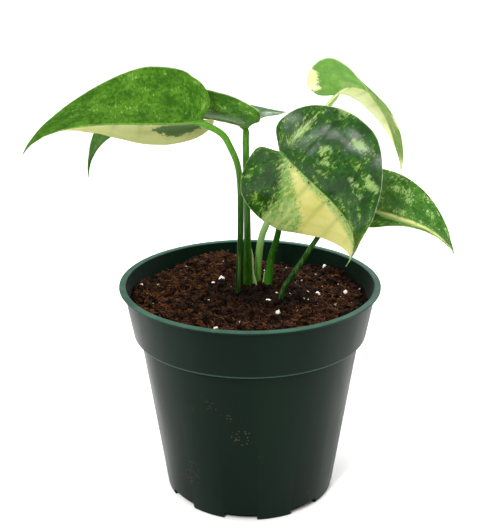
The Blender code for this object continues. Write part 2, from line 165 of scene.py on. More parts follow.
# Each leaf's shape, as in the solid model, and its finish. The underside and the upper side have a deep green, a mid
# green, a colour for flecks and a cream; the stalk has greens at its foot, in its middle and at the blade, with
# painted shade in them, darkest low among the stems. A marking is (kind, half, outline), with the outline in
# hundredths of the length and of the half width.
LEAVES = {
    "leaf_left": dict(
        midrib=((-28, 4, 241), (-54, 1, 235), (-117, -3, 250), (-132, -22, 226)), up=(-0.2, 0.82, 0.54), twist=2,
        half_widths=(29.9, 33.9), fold=(50, 28), tip_fold=(55, 23), lobe_fold=(-27, -18), curl=(-66, 15),
        roll_back=24, outline=(0.06, 0.37, 0.27, 0.24, 0.19, 0.22),
        petiole=((-7.4, 5), (-6.1, 3, 162), (-5.8, 0, 185), (-6, -2, 203), (-7.5, -2, 215), (-11, -1, 224),
                 (-17, 1, 233.5)),
        radii=(2.6, 1.8, 2.0), stalk=("#0A2206", "#1A3C0C", "#4C8022"), flecks=0.2,
        under=("#2C600F", "#568A20", "#9FC26A", "#C3C98E"), upper=("#164A10", "#356E20", "#9DBE6E", "#E4E096"),
        markings=(
            ("cream", 0, ((-10, 3), (50, 3), (100, 0), (90, 50), (50, 110), (20, 120), (-15, 100))),
            ("dark", 0, ((0, 40), (7, 22), (15, 20), (22, 30), (27, 57), (21, 70), (15, 78), (7, 68), (2, 58))),
        ),
    ),
    "leaf_back": dict(
        midrib=((-1, 22, 233), (-48, 44, 246), (-107, 43, 230), (-105, 43, 194)), up=(0.15, -0.25, 0.96), twist=7,
        half_widths=(36.1, 31.1), fold=(35, 33), tip_fold=(4, 25), lobe_fold=(30, 3), curl=(-72, 50),
        roll_back=23, outline=(0.1, 0.76, 0.36, 0.56, 0.39, 0.23),
        petiole=((-1.3, 18), (-1.6, 13, 160), (-1.8, 12, 182), (-2.3, 14, 206), (-2.6, 18, 224)),
        radii=(3.2, 2.3, 2.1), stalk=("#2C5A12", "#2C5E14", "#3C701C"), flecks=0.3,
        under=("#26590F", "#4E8A1E", "#98BE62", "#C3C98E"), upper=("#164A10", "#356E20", "#9DBE6E", "#E4E096"),
        markings=(),
    ),
    "leaf_front": dict(
        midrib=((17, -21, 228), (40, -33, 205), (73, -25, 185), (54, -59, 171)), up=(-0.28, -0.93, 0.22), twist=43,
        half_widths=(44.7, 46.8), fold=(-15, 8), tip_fold=(-12, 5), lobe_fold=(-6, 13), curl=(1, -40),
        roll_back=-82, outline=(0.14, 0.28, 0.33, 0.11, 0.21, 0.26),
        petiole=((11.5, 19), (13.5, 15, 149), (16, 9, 161), (18.5, 4, 176), (20, -3, 194), (19.5, -11, 210)),
        radii=(2.9, 2.1, 1.8), stalk=("#2F6414", "#1C500A", "#3F7A24"), flecks=0.45,
        under=("#3F7A2A", "#5A9238", "#A9C47C", "#D6D388"), upper=("#083004", "#1C5610", "#94B04E", "#D6D288"),
        markings=(
            ("cream", 0, ((6, 0), (50, 0), (102, 0), (90, 30), (70, 70), (50, 110), (34, 110), (28, 90), (27, 60),
                          (18, 35), (12, 15))),
            ("sage", 0, ((3, 0), (10, 0), (19, 16), (30, 37), (38, 50), (45, 70), (50, 110), (30, 110), (20, 105),
                         (19, 79), (20, 62), (16, 38), (10, 19))),
            ("sage", 0, ((11, 0), (35, 0), (60, 0), (90, 0), (78, 6), (71, 12), (57, 12), (41, 10), (27, 7))),
            ("pale", 1, ((43, 39), (46, 42), (52, 42), (49, 37))),
            ("pale", 1, ((49, 54), (51, 60), (58, 62), (61, 56), (54, 50))),
            ("pale", 1, ((29, 75), (35, 83), (40, 79), (38, 72), (33, 70))),
            ("pale", 1, ((21, 26), (26, 33), (31, 36), (27, 29))),
            ("pale", 1, ((54, 34), (56, 38), (58, 34))),
            ("pale", 1, ((5, 90), (13, 97), (19, 100), (12, 87))),
            ("pale", 1, ((18, 40), (21, 49), (25, 49), (21, 38))),
            ("sage", 1, ((0, 15), (-2, 39), (1, 60), (4, 39), (2, 20))),
        ),
    ),
    "leaf_top": dict(
        midrib=((53, 29, 252), (66, 33, 267), (95, -15, 250), (89, -15, 213)), up=(-0.23, -0.86, 0.45), twist=27,
        half_widths=(15.0, 29.4), fold=(58, 56), tip_fold=(67, 58), lobe_fold=(4, -27), curl=(29, 5),
        roll_back=21, outline=(0.11, 0.62, 0.14, 0.18, 0.36, 0.11),
        petiole=((4.5, 25), (6.5, 20, 157), (11, 18, 173), (19, 17, 195), (31, 18, 220), (42, 21, 238)),
        radii=(2.4, 2.5, 1.8), stalk=("#62983A", "#9CB876", "#A8C880"), flecks=0.15,
        under=("#5A9C22", "#86BE40", "#C4DE84", "#F7F7CC"), upper=("#5C9A2E", "#78AE3A", "#B7D27C", "#FAFAE6"),
        markings=(
            ("cream", 0, ((0, 0), (50, 0), (100, 0), (80, 80), (40, 110), (-10, 110), (-15, 50))),
            ("cream", 1, ((-6, 40), (0, 74), (2, 110), (-12, 110), (-14, 60))),
            ("cream", 1, ((58, 0), (68, 0), (75, 20), (70, 100), (60, 100), (58, 40))),
            ("cream", 1, ((84, 0), (100, 0), (100, 50), (86, 80))),
            ("sage", 1, ((40, 30), (75, 0), (90, 0), (90, 110), (50, 110))),
            ("pale", 1, ((5, 0), (25, 0), (20, 16), (8, 18))),
        ),
    ),
    "leaf_right": dict(
        midrib=((58, 1, 194), (80, 2, 182), (112, -14, 187), (123, -21, 164)), up=(0.33, -0.75, 0.57), twist=-3,
        half_widths=(23.4, 25.1), fold=(9, 36), tip_fold=(57, -22), lobe_fold=(11, 29), curl=(24, 23),
        roll_back=-39, outline=(0.11, 0.67, 0.31, 0.4, 0.3, 0.14),
        petiole=((18.6, -6.5), (20.9, -6.2, 136), (24.8, -5.6, 143), (31.9, -5, 154), (41, -4.5, 169), (51, -3, 184)),
        radii=(2.0, 1.7, 1.5), stalk=("#0A2404", "#103404", "#2E5C14"), flecks=0.55,
        under=("#3F7A2A", "#5A9238", "#A9C47C", "#D6D388"), upper=("#1F540F", "#4A8226", "#B8D088", "#E0DE9A"),
        markings=(
            ("cream", 0, ((14, 0), (60, 0), (100, 0), (80, 26), (55, 26), (30, 17))),
            ("pale", 0, ((10, 0), (30, 10), (50, 18), (75, 20), (60, 40), (35, 30))),
        ),
    ),
}

# Edges of the markings, as (how softly the kind ends, how far the noise pushes its edge)
MARKING_EDGES = {"cream": (0.1, 1.0), "sage": (0.22, 1.0), "pale": (0.16, 0.5), "dark": (0.12, 0.7)}

# Noises of a blade, as (repeats along the margin, repeats out from the midrib, detail, roughness, distortion): its
# broad tones, streaks, blotches, fine flecks, grain and cells
LEAF_NOISES = ((11, 4, 3.0), (60, 7, 4.0, 0.65, 0.4), (70, 14, 3.0, 0.6, 0.8), (170, 18, 3.0, 0.6, 0.4),
               (40, 12, 4.0), (240, 60, 4.0, 0.7))

# Light that a blade lets through, as (share, colour): the young one is thinner and holds less green
GLOW, YOUNG_GLOW = (0.3, "#F2F8B8"), (0.65, "#FCFCEC")

# Where soil clings to the front of the pot, as (place, reach) in metres
DUST_SPOTS = (((-0.021, -0.058, 0.086), 0.008), ((-0.013, -0.061, 0.078), 0.006), ((-0.004, -0.061, 0.064), 0.009))

# Inputs of the tree that scatters bits, with their defaults
SCATTER_INPUTS = {"Count": 1000, "Seed": 0, "Smallest": 0.5, "Largest": 1.5, "Tilt": 0.6, "Lift": 0.0,
                  "Patch size": 30.0, "Sparse": 1.0, "Dense": 1.0}

# What lies loose on the mix: its name, then its values of those inputs from Smallest on, with the lift in millimetres
LOOSE_BITS = (
    ("peat_crumbs", 0.35, 2.2, 1.5, 0.2, 34.0, 0.6, 1.4),
    ("coir_fibres", 0.5, 1.5, 0.45, 0.8, 26.0, 0.3, 1.8),
    ("bark_chips", 0.5, 2.0, 0.7, 0.6, 40.0, 0.5, 1.5),
    ("perlite_grit", 0.3, 1.0, 1.5, 0.5, 50.0, 0.6, 1.4),
)

# Large perlite grains, as (x, y, radius), and for those that aren't of the usual shape, length and height for width
PERLITE = (
    (-70, 14, 1.5), (-47, 48, 1.3), (-60, 17, 1.0, 1.3, 0.8), (-36, 9, 1.2, 1.5, 0.6), (-28.3, 17.3, 1.4, 1.7, 0.6),
    (-23.9, 22.7, 1.5, 1.1, 0.8), (-18.7, 24.6, 2.1, 1.0, 1.3), (-45, -19, 1.2), (-34, -34, 0.9), (-26, -8, 0.9),
    (33.3, 26.4, 1.5, 2.7, 0.9), (50.6, 47.3, 1.7, 1.0, 1.4), (44, 38, 0.9), (43, 3.2, 1.5, 1.0, 1.1),
    (36, 2, 1.3, 1.2, 0.8), (61, 5, 1.4, 0.9, 1.5), (53, -14, 0.9), (26, -25, 0.8), (11.5, -11.9, 1.7, 1.3, 0.8),
    (17.1, -28, 1.7, 0.9, 1.7), (17, 5, 1.1, 0.9, 1.6), (-20, -52, 1.3, 1.0, 1.1), (-10, -64, 1.2, 1.6, 0.8),
)
USUAL_GRAIN = (1.0, 0.8)


def linear(code):
    """Scene-linear colour of an sRGB hex code."""
    values = [int(code[i : i + 2], 16) / 255.0 for i in (1, 3, 5)]
    return tuple(v / 12.92 if v <= 0.04045 else ((v + 0.055) / 1.055) ** 2.4 for v in values) + (1.0,)


def color_property(name, code, description):
    return FloatVectorProperty(
        name=name, description=description, default=linear(code), size=4, min=0.0, max=1.0, subtype="COLOR"
    )


def share_property(name, share, description):
    return FloatProperty(name=name, description=description, default=share, min=0.0, max=1.0, subtype="FACTOR")


def length_property(name, length, description, least=0.0):
    return FloatProperty(name=name, description=description, default=length, min=least, unit="LENGTH")


def count_property(name, count, description, least=0):
    return IntProperty(name=name, description=description, default=count, min=least)


class MonsteraPotSettings(bpy.types.PropertyGroup):
    plastic: color_property("Plastic", "#06140D", "Colour of the moulded plastic")
    # The lip colour is a painted highlight on the lip's upward face.
    lip: color_property("Lip", "#38584A", "Colour of the lip, where the plastic is scuffed paler")
    inside: color_property("Inside", "#06180E", "Colour of the inner wall")
    dust: color_property("Dust", "#8A7350", "Colour of the soil specks stuck to the plastic")
    roughness: share_property("Roughness", 0.36, "Roughness of the plastic")
    segments: count_property("Segments", 200, "Facets round the pot", 32)


class MonsteraSoilSettings(bpy.types.PropertyGroup):
    moist: color_property("Moist peat", "#060302", "Darkest colour of the moist mix")
    peat: color_property("Peat", "#120905", "Main colour of the mix")
    fibre: color_property("Coir", "#744A28", "Colour of the dry fibres")
    bark: color_property("Bark", "#3C2014", "Colour of the bark chips")
    perlite: color_property("Perlite", "#DCD9CF", "Colour of the perlite grains")
    crumb_size: length_property("Crumb size", 0.00135, "Mean radius of the peat crumbs", 0.0002)
    crumbs: count_property("Crumbs", 3600, "Number of peat crumbs")
    fibres: count_property("Fibres", 4200, "Number of coir fibres")
    grains: count_property("Grains", 120, "Number of small perlite grains")
    chips: count_property("Chips", 420, "Number of bark chips")
    seed: count_property("Seed", 11, "Seed of the scattered pieces")


class MonsteraLeafSettings(bpy.types.PropertyGroup):
    sage: color_property("Sage", "#9DB873", "Colour of the half-green areas")
    midrib: color_property("Midrib", "#8DB35A", "Colour of the main vein")
    pale_stalk: color_property("Pale stalk", "#94B86A", "Colour of the petioles' pale streaks and of the sheaths")
    thickness: length_property("Thickness", 0.0005, "Thickness of a blade", 0.0001)
    vein_depth: length_property("Vein depth", 0.00022, "Depth of the side veins")
    gloss: share_property("Gloss", 0.18, "Roughness of the waxy upper side")


class MonsteraStageSettings(bpy.types.PropertyGroup):
    floor: color_property("Floor", "#F4F4F2", "Colour of the floor")
    lens: FloatProperty(name="Lens", description="Focal length in millimetres", default=66.54, min=1.0)
    distance: length_property("Distance", 0.615, "Distance from the camera to the middle of the plant")
    elevation: FloatProperty(
        name="Elevation", description="Height angle of the camera", default=math.radians(20.01), subtype="ANGLE"
    )
    target: length_property("Target", 0.150, "Height that the camera looks at")


# Material nodes


# Each kind of node by a short name: its type, its settings, the inputs that values go to in order, and the output
NODES = {
    "place": ("ShaderNodeTexCoord", {}, (), "Object"),
    "position": ("GeometryNodeInputPosition", {}, (), 0),
    "noise": ("ShaderNodeTexNoise", {}, ("Vector", "Scale", "Detail", "Roughness", "Distortion"), "Fac"),
    "cells": ("ShaderNodeTexVoronoi", {}, ("Vector", "Scale"), "Distance"),
    "stretch": ("ShaderNodeVectorMath", {"operation": "MULTIPLY"}, (0, 1), 0),
    "distance": ("ShaderNodeVectorMath", {"operation": "DISTANCE"}, (0, 1), "Value"),
    "parts": ("ShaderNodeSeparateXYZ", {}, (0,), 2),
    "channel": ("ShaderNodeSeparateColor", {}, (0,), 0),
    "step": ("ShaderNodeMapRange", {"interpolation_type": "SMOOTHSTEP"}, (0, 1, 2, 3, 4), 0),
    "blend": ("ShaderNodeMix", {"data_type": "RGBA"}, (0, 6, 7), 2),
    "tint": ("ShaderNodeMix", {"data_type": "RGBA", "blend_type": "MULTIPLY"}, (0, 6, 7), 2),
    "bump": ("ShaderNodeBump", {}, ("Height", "Strength", "Distance"), 0),
    "vector": ("ShaderNodeCombineXYZ", {}, (0, 1, 2), 0),
    "whole_sum": ("FunctionNodeIntegerMath", {"operation": "ADD"}, (0, 1), 0),
    "face_area": ("GeometryNodeInputMeshFaceArea", {}, (), 0),
    "total": ("GeometryNodeAttributeStatistic", {"domain": "FACE"}, ("Geometry", "Attribute"), "Sum"),
    "spread": ("GeometryNodeDistributePointsOnFaces", {}, ("Mesh", "Density", "Seed"), "Points"),
    "random_vector": ("FunctionNodeRandomValue", {"data_type": "FLOAT_VECTOR"}, (0, 1, "Seed"), 0),
    "random_size": ("FunctionNodeRandomValue", {"data_type": "FLOAT"}, (2, 3, "Seed"), 1),
    "random_pick": ("FunctionNodeRandomValue", {"data_type": "INT"}, (4, 5, "Seed"), 2),
    "bits": ("GeometryNodeCollectionInfo", {}, ("Collection", "Separate Children", "Reset Children"), 0),
    "move": ("GeometryNodeSetPosition", {}, ("Geometry", "Offset"), 0),
    "turn": ("FunctionNodeEulerToRotation", {}, (0,), 0),
    "copies": ("GeometryNodeInstanceOnPoints", {},
               ("Points", "Instance", "Pick Instance", "Instance Index", "Rotation", "Scale"), 0),
    "realize": ("GeometryNodeRealizeInstances", {}, (0,), 0),
    "coat": ("GeometryNodeSetMaterial", {}, ("Geometry", "Material"), 0),
    "light_through": ("ShaderNodeBsdfTranslucent", {}, ("Color",), 0),
    "mix_shaders": ("ShaderNodeMixShader", {}, (0, 1, 2), 0),
}
for operation in ("add", "subtract", "multiply", "divide"):
    NODES[operation] = ("ShaderNodeMath", {"operation": operation.upper()}, (0, 1), 0)
# What the meshes say of their own points: a blade's sides, edges, veins and markings, and the pot's inner wall
POINT_VALUES = ("under", "midrib", "margin", "vein", "along", *MARKING_EDGES)
for label in (*POINT_VALUES, "inner", "vein_space"):
    output = "Vector" if label == "vein_space" else "Fac"
    NODES[label] = ("ShaderNodeAttribute", {"attribute_name": label}, (), output)


def feed(node, inputs):
    """Set a node's inputs to values or colour codes, or link them from sockets."""
    for key, value in inputs.items():
        if isinstance(value, bpy.types.NodeSocket):
            node.id_data.links.new(value, node.inputs[key])
        else:
            node.inputs[key].default_value = linear(value) if isinstance(value, str) else value


def add(tree, kind, *values, out=None):
    """Add a node with its settings and links, and give its output."""
    type_name, settings, slots, output = NODES[kind]
    node = tree.nodes.new(type_name)
    for key, value in settings.items():
        setattr(node, key, value)
    feed(node, dict(zip(slots, values)))
    return node.outputs[output if out is None else out]


def start_material(name):
    """A new material, add() for its tree, and its shader."""
    material = bpy.data.materials.new(name)
    material.use_nodes = True
    tree = material.node_tree
    return material, partial(add, tree), tree.nodes["Principled BSDF"]


def finish_surface(shader, color, roughness, relief, specular=0.5, **others):
    """Give a material's shader what makes its look; plain specular is 0.5."""
    feed(shader, {"Base Color": color, "Roughness": roughness, "Specular IOR Level": specular, **others})
    feed(shader, {"Normal": relief})


def lay_over(put, color, *layers):
    """Lay colours over a first one, each as (mask, share of it that covers, colour)."""
    for mask, share, over in layers:
        color = put("blend", put("multiply", mask, share), color, over)
    return color


def weigh(put, *terms):
    """Sum of values, each times its weight."""
    total = None
    for value, weight in terms:
        part = put("multiply", value, weight)
        total = part if total is None else put("add", total, part)
    return total


def let_light_through(put, shader, share, color):
    """Mix in the light that comes through a thin living sheet from its far side."""
    both = put("mix_shaders", share, shader.outputs[0], put("light_through", color))
    feed(shader.id_data.nodes["Material Output"], {"Surface": both})


# Materials

# Repeats of each pattern in a metre, and after them its size in millimetres. The grains are drawn coarser than the
# real ones, so that they show.
MOULDING_MARKS = (22, 22, 5)  # 45 wide, 200 high
SCUFFS = 90.0  # 11
WEAR = 55.0  # 18
SPECKS = 560.0  # 1.8
DUSTY_PATCHES = 34.0  # 29
PLASTIC_GRAIN = 700.0  # 1.4
PEAT_TONES = 260.0  # 4
DRY_PATCHES = 42.0  # 24
PEAT_GRAIN = 900.0  # 1.1
BIT_TONES = 330.0  # 3, about one bit
BIT_PATCHES = 60.0  # 17
BIT_GRAIN = 1400.0  # 0.7
PERLITE_STAINS = 420.0  # 2.4
PERLITE_GRAIN = 1500.0  # 0.7
STALK_STREAKS = (700, 700, 25)  # 1.4 wide, 40 long
STALK_DOTS = 500.0  # 2
SHEATH_LINES = (900, 900, 40)  # 1.1 wide, 25 long
PAPER_MOTTLE = 3.0  # 330


def plastic_material(settings):
    """Injection-moulded polypropylene, dark green, with soil dust, a painted highlight in patches on the lip's top
    face and a painted highlight along the collar's lower edge.
    """
    material, put, shader = start_material("moulded_polypropylene")
    place = put("place")
    height = put("parts", place)
    across = put("distance", put("stretch", place, (1, 1, 0)), (0, 0, 0))
    shade = put("noise", put("stretch", place, MOULDING_MARKS), 1.0, 4.0)
    color = put("blend", put("step", shade, 0.3, 0.75), settings.plastic, "#0A1C13")
    inner = put("step", put("inner"), 0.4, 0.6)
    top, rim, foot = POT_HEIGHT * MM, inner_radius(POT_HEIGHT) * MM, COLLAR_FOOT_Z * MM
    # Painted highlight: the lip's upward face is painted paler, in patches, as where it catches the light.
    on_top = put("step", height, top - 0.0009, top - 0.0002)
    lip = put("multiply", on_top, put("step", across, rim - 0.0004, rim + 0.0004))
    lip_highlight_patches = put("step", put("noise", place, SCUFFS, 5.0), 0.2, 0.7, 0.55, 1.0)
    # Painted highlight: a paler band along the rounded lower edge of the collar, where the step catches the light.
    above = put("step", height, foot - 0.0008, foot)
    edge = put("multiply", above, put("step", height, foot + 0.0014, foot + 0.0005))
    speck = put("step", put("cells", place, SPECKS), 0.26, 0.12)
    dusty = put("step", put("noise", place, DUSTY_PATCHES, 2.0), 0.64, 0.7, 0.0, 0.4)
    dusty = put("multiply", dusty, put("step", height, foot - 0.006, foot - 0.01))
    for spot, reach in DUST_SPOTS:
        dusty = put("add", dusty, put("step", put("distance", place, spot), reach, 0.5 * reach))
    # Over the plastic and the inner wall go the painted highlights on the lip and the collar's edge, then the soil
    # dust.
    color = lay_over(put, color, (inner, 1.0, settings.inside), (lip, lip_highlight_patches, settings.lip),
                     (edge, 0.35, "#4C6B5E"), (put("multiply", speck, dusty), 0.5, settings.dust))
    worn = put("noise", put("stretch", place, (1, 1, 0.3)), WEAR, 5.0)
    rough = put("step", worn, 0.2, 0.8, settings.roughness - 0.05, settings.roughness + 0.1)
    rough = put("add", rough, put("multiply", lip, 0.12))
    relief = put("bump", put("noise", place, PLASTIC_GRAIN, 4.0), 0.08, 0.0004)
    finish_surface(shader, color, rough, relief, 0.04, **{"Sheen Weight": 0.06, "Sheen Roughness": 0.4})
    return material


def shade_round_feet(put, place, color):
    """Painted shade: darken the mix round the petioles' feet, among the stems and under the leaves."""
    away = put("distance", place, (0.006, 0.0, 0.128))
    return put("blend", put("step", away, 0.055, 0.012, 0.0, 0.75), color, "#060403")


def mix_material(settings):
    """Moist peat and coir, nearly black with browner dry patches at random, and painted shade round the petioles'
    feet.
    """
    material, put, shader = start_material("moist_peat")
    place = put("place")
    tone = put("step", put("noise", place, PEAT_TONES, 6.0, 0.7), 0.35, 0.7)
    dry = put("step", put("noise", place, DRY_PATCHES, 4.0), 0.5, 0.72)
    color = lay_over(put, put("blend", tone, settings.moist, settings.peat), (dry, 0.4, settings.bark))
    relief = put("bump", put("noise", place, PEAT_GRAIN, 6.0, 0.75), 0.9, 0.0012)
    # The colour goes out with painted shade round the petioles' feet.
    finish_surface(shader, shade_round_feet(put, place, color), 0.9, relief, 0.05)
    return material


def crumb_material(name, dark, light, rough):
    """Loose organic matter whose colour changes from bit to bit."""
    material, put, shader = start_material(name)
    place = put("place")
    bit = put("channel", put("cells", place, BIT_TONES, out="Color"))
    value = weigh(put, (bit, 0.5), (put("noise", place, BIT_PATCHES, 3.0), 0.5))
    color = put("blend", put("step", value, 0.3, 0.75), dark, light)
    relief = put("bump", put("noise", place, BIT_GRAIN, 4.0), 0.5, 0.0004)
    # The bits get the same painted shade round the petioles' feet.
    finish_surface(shader, shade_round_feet(put, place, color), rough, relief, 0.06)
    return material


def perlite_material(settings):
    """Expanded volcanic glass: off-white, chalky and stained by the peat."""
    material, put, shader = start_material("expanded_perlite")
    place = put("place")
    stain = put("step", put("noise", place, PERLITE_STAINS, 5.0), 0.52, 0.78)
    color = lay_over(put, settings.perlite, (stain, 0.65, "#8E7A62"))
    finish_surface(shader, color, 0.75, put("bump", put("noise", place, PERLITE_GRAIN, 5.0), 0.7, 0.0005))
    return material


def leaf_material(name, settings):
    """Variegated living leaf: flecks run along the side veins, and the marked areas hold little or no green."""
    material, put, shader = start_material("living_leaf_" + name)
    sizes = LEAVES[name]
    flat = put("vein_space")
    under = put("step", put("under"), 0.4, 0.6)
    broad, streaks, blotches, fine, grain, cells = (
        put("noise", put("stretch", flat, (along, out, 1)), 1.0, *rest) for along, out, *rest in LEAF_NOISES
    )
    tone = weigh(put, (broad, 0.4), (blotches, 0.6))
    level = weigh(put, (fine, 0.5), (streaks, 0.5), (put("subtract", broad, 0.5), 0.45))
    wobble = put("subtract", weigh(put, (streaks, 1.4), (fine, 0.9), (blotches, 0.8)), 1.55)
    edge_of = {}
    for kind, (reach, loose) in MARKING_EDGES.items():
        mask = put("add", put(kind), put("multiply", wobble, loose))
        edge_of[kind] = put("step", mask, 0.5 - reach, 0.5 + reach)
    sides = []
    for deep, mid, fleck, cream in (sizes["under"], sizes["upper"]):
        green = put("blend", put("step", tone, 0.4, 0.6), deep, mid)
        lowest = 0.62 - 0.12 * sizes["flecks"]
        green = lay_over(put, green, (put("step", level, lowest, lowest + 0.06), 0.75, fleck))
        warm = put("tint", put("step", broad, 0.35, 0.7), cream, "#F6F4E0")
        sides.append(put("blend", edge_of["cream"], green, warm))
    color = put("blend", under, sides[1], sides[0])
    color = lay_over(put, color, (put("vein"), 0.35, put("tint", 1.0, color, "#8FB070")))
    sage = put("blend", put("step", tone, 0.42, 0.58), settings.sage, "#6B9A40")
    sage = put("blend", put("step", streaks, 0.52, 0.62, 0.0, 0.7), sage, "#C8CC7C")
    midrib = put("step", put("midrib"), 0.35, 0.8)
    margin = put("step", put("margin"), 0.7, 1.0)
    color = lay_over(put, color, (edge_of["sage"], 0.9, sage), (edge_of["pale"], 0.7, "#9DBB70"),
                     (edge_of["dark"], 0.9, "#3C6434"), (midrib, 0.45, settings.midrib), (margin, 0.6, "#C0CE96"))
    rough = put("add", put("add", settings.gloss, put("multiply", under, 0.16)), put("multiply", grain, 0.1))
    relief = put("bump", weigh(put, (cells, 0.4), (streaks, 0.6)), 0.4, 0.0004)
    finish_surface(shader, color, rough, relief, put("step", under, 0.0, 1.0, 0.36, 0.1))
    share, lit = YOUNG_GLOW if name == "leaf_top" else GLOW
    let_light_through(put, shader, share, put("blend", 0.3, color, lit))
    return material


def stalk_material(name, settings):
    """Smooth fleshy petiole, waxy, darker at its foot with painted shade among the stems, and paler at the blade."""
    material, put, shader = start_material("living_stalk_" + name)
    foot, middle, top = LEAVES[name]["stalk"]
    place = put("place")
    along = put("along")
    # The foot, middle and top greens hold painted shade as well as the stalk's own green: darkest low among the
    # stems.
    color = put("blend", put("step", along, 0.2, 0.5), foot, middle)
    color = put("blend", put("step", along, 0.5, 0.98), color, top)
    lines = put("noise", put("stretch", place, STALK_STREAKS), 1.0, 3.0)
    dots = put("step", put("noise", place, STALK_DOTS, 4.0), 0.66, 0.74)
    color = lay_over(put, color, (put("step", lines, 0.5, 0.72), 0.14, settings.pale_stalk),
                     (dots, 0.2, settings.pale_stalk))
    flesh = {"Subsurface Weight": 0.1, "Subsurface Scale": 1.0, "Subsurface Radius": (0.002, 0.003, 0.001)}
    finish_surface(shader, color, 0.3, put("bump", lines, 0.2, 0.0003), 0.1, **flesh)
    return material


def sheath_material(settings):
    """Thin membrane at the foot of a petiole, pale green and drying at its edge."""
    material, put, shader = start_material("leaf_sheath")
    lines = put("noise", put("stretch", put("place"), SHEATH_LINES), 1.0, 3.0)
    color = put("blend", put("step", lines, 0.3, 0.7), settings.pale_stalk, "#8FB85A")
    edge = put("step", put("margin"), 0.6, 1.0)
    low = put("step", put("along"), 0.35, 0.0)
    color = lay_over(put, color, (edge, 0.6, "#D6D9B0"), (low, 0.8, "#3E7418"))
    finish_surface(shader, color, 0.4, put("bump", lines, 0.2, 0.0003))
    let_light_through(put, shader, 0.3, color)
    return material


# Shape helpers


def place_in_scene(name, data):
    piece = bpy.data.objects.new(name, data)
    bpy.context.scene.collection.objects.link(piece)
    return piece


def piece_from_bmesh(name, bm, material, smooth=True):
    """A finished piece in metres, at the origin, from a bmesh in millimetres."""
    mesh = bpy.data.meshes.new(name)
    bm.to_mesh(mesh)
    bm.free()
    mesh.transform(Matrix.Scale(MM, 4))
    mesh.polygons.foreach_set("use_smooth", [smooth] * len(mesh.polygons))
    mesh.materials.append(material)
    return place_in_scene(name, mesh)


def bake(piece):
    """Apply what the modifiers make, as a plain mesh."""
    evaluated = piece.evaluated_get(bpy.context.evaluated_depsgraph_get())
    made = bpy.data.meshes.new_from_object(evaluated)
    piece.modifiers.clear()
    piece.data = made


def enter(piece, slot, *nodes):
    """Hang the piece on the body it rides on and hide the solids it stands for; the slot, whose finish it has, is not
    used.
    """
    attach(piece, BODY)
    for node in nodes:
        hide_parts(node)


def inner_radius(z):
    if z < COLLAR_FOOT_Z + WALL:
        return BASE_RADIUS + (BODY_TOP_RADIUS - BASE_RADIUS) * z / COLLAR_FOOT_Z - WALL
    share = (z - COLLAR_FOOT_Z) / (POT_HEIGHT - COLLAR_FOOT_Z)
    return COLLAR_FOOT_RADIUS + (COLLAR_TOP_RADIUS - COLLAR_FOOT_RADIUS) * share - WALL


def fillet(profile, index, radius):
    """Round one corner of a profile."""
    corner = np.array(profile[index], float)
    before, after = (np.array(profile[index + k], float) - corner for k in (-1, 1))
    start, end = (
        corner + edge / np.linalg.norm(edge) * min(radius, np.linalg.norm(edge) * 0.45) for edge in (before, after)
    )
    t = np.linspace(0, 1, CORNER_STEPS + 1)[:, None]
    return [tuple(p) for p in (1 - t) ** 2 * start + 2 * (1 - t) * t * corner + t**2 * end]


def rounded(profile):
    out = [profile[0]]
    for index in range(1, len(profile) - 1):
        out += fillet(profile, index, CORNER_RADII.get(index, OTHER_CORNERS))
    return out + [profile[-1]]


def spin_profile(profile, segments):
    bm = bmesh.new()
    verts = [bm.verts.new((r, 0.0, z)) for r, z in profile]
    edges = [bm.edges.new(pair) for pair in zip(verts, verts[1:])]
    bmesh.ops.spin(
        bm, geom=verts + edges, cent=(0, 0, 0), axis=(0, 0, 1), angle=math.tau, steps=segments, use_merge=True
    )
    bmesh.ops.remove_doubles(bm, verts=bm.verts, dist=1e-4)
    bmesh.ops.recalc_face_normals(bm, faces=bm.faces)
    return bm


def join_rings(bm, near, far):
    for k in range(len(near)):
        n = (k + 1) % len(near)
        bm.faces.new((near[k], far[k], far[n], near[n]))


def soil_height(x, y):
    """The mix's height as in the solid model: a low mound with heaps and unevenness."""
    radius = math.hypot(x, y) / inner_radius(SOIL_EDGE_Z)
    height = SOIL_EDGE_Z + SOIL_MOUND * (1.0 - radius**2)
    for centre_x, centre_y, spread, rise in SOIL_HEAPS:
        height += rise * math.exp(-((x - centre_x) ** 2 + (y - centre_y) ** 2) / (2 * spread**2))
    uneven = math.sin(0.21 * x + 1.3) * math.cos(0.17 * y - 0.6)
    uneven = uneven + 0.7 * math.sin(0.37 * y + 0.11 * x) + 0.5 * math.cos(0.47 * x - 0.29 * y + 2.0)
    return height + SOIL_ROUGHNESS * uneven


def crumbly_height(x, y):
    """The mix's height with its clods and crumbs."""
    place = Vector((x, y, 0.0))
    clods = noise.fractal(place * 0.16, 0.7, 2.2, 5)
    crumbs = noise.fractal(place * 0.55 + Vector((7.0, 3.0, 1.0)), 0.8, 2.3, 4)
    return soil_height(x, y) + CLOD_RISE * clods + CRUMB_RISE * crumbs


def bezier(points, t):
    a, b, c, d = np.asarray(points, float)
    t = np.asarray(t, float)[:, None]
    return (1 - t) ** 3 * a + 3 * (1 - t) ** 2 * t * b + 3 * (1 - t) * t**2 * c + t**3 * d


def evenly(points, count):
    steps = np.linalg.norm(np.diff(points, axis=0), axis=1)
    along = np.concatenate([[0.0], np.cumsum(steps)])
    wanted = np.linspace(0.0, along[-1], count)
    return np.stack([np.interp(wanted, along, points[:, k]) for k in range(points.shape[1])], -1), along[-1]


def unit(vectors):
    return vectors / np.linalg.norm(vectors, axis=1)[:, None]


def carry(direction, tangents):
    """A side direction carried along a path without twisting, kept square to it."""
    carried = []
    for tangent in tangents:
        direction = direction - direction.dot(tangent) * tangent
        direction = direction / np.linalg.norm(direction)
        carried.append(direction)
    return np.array(carried)


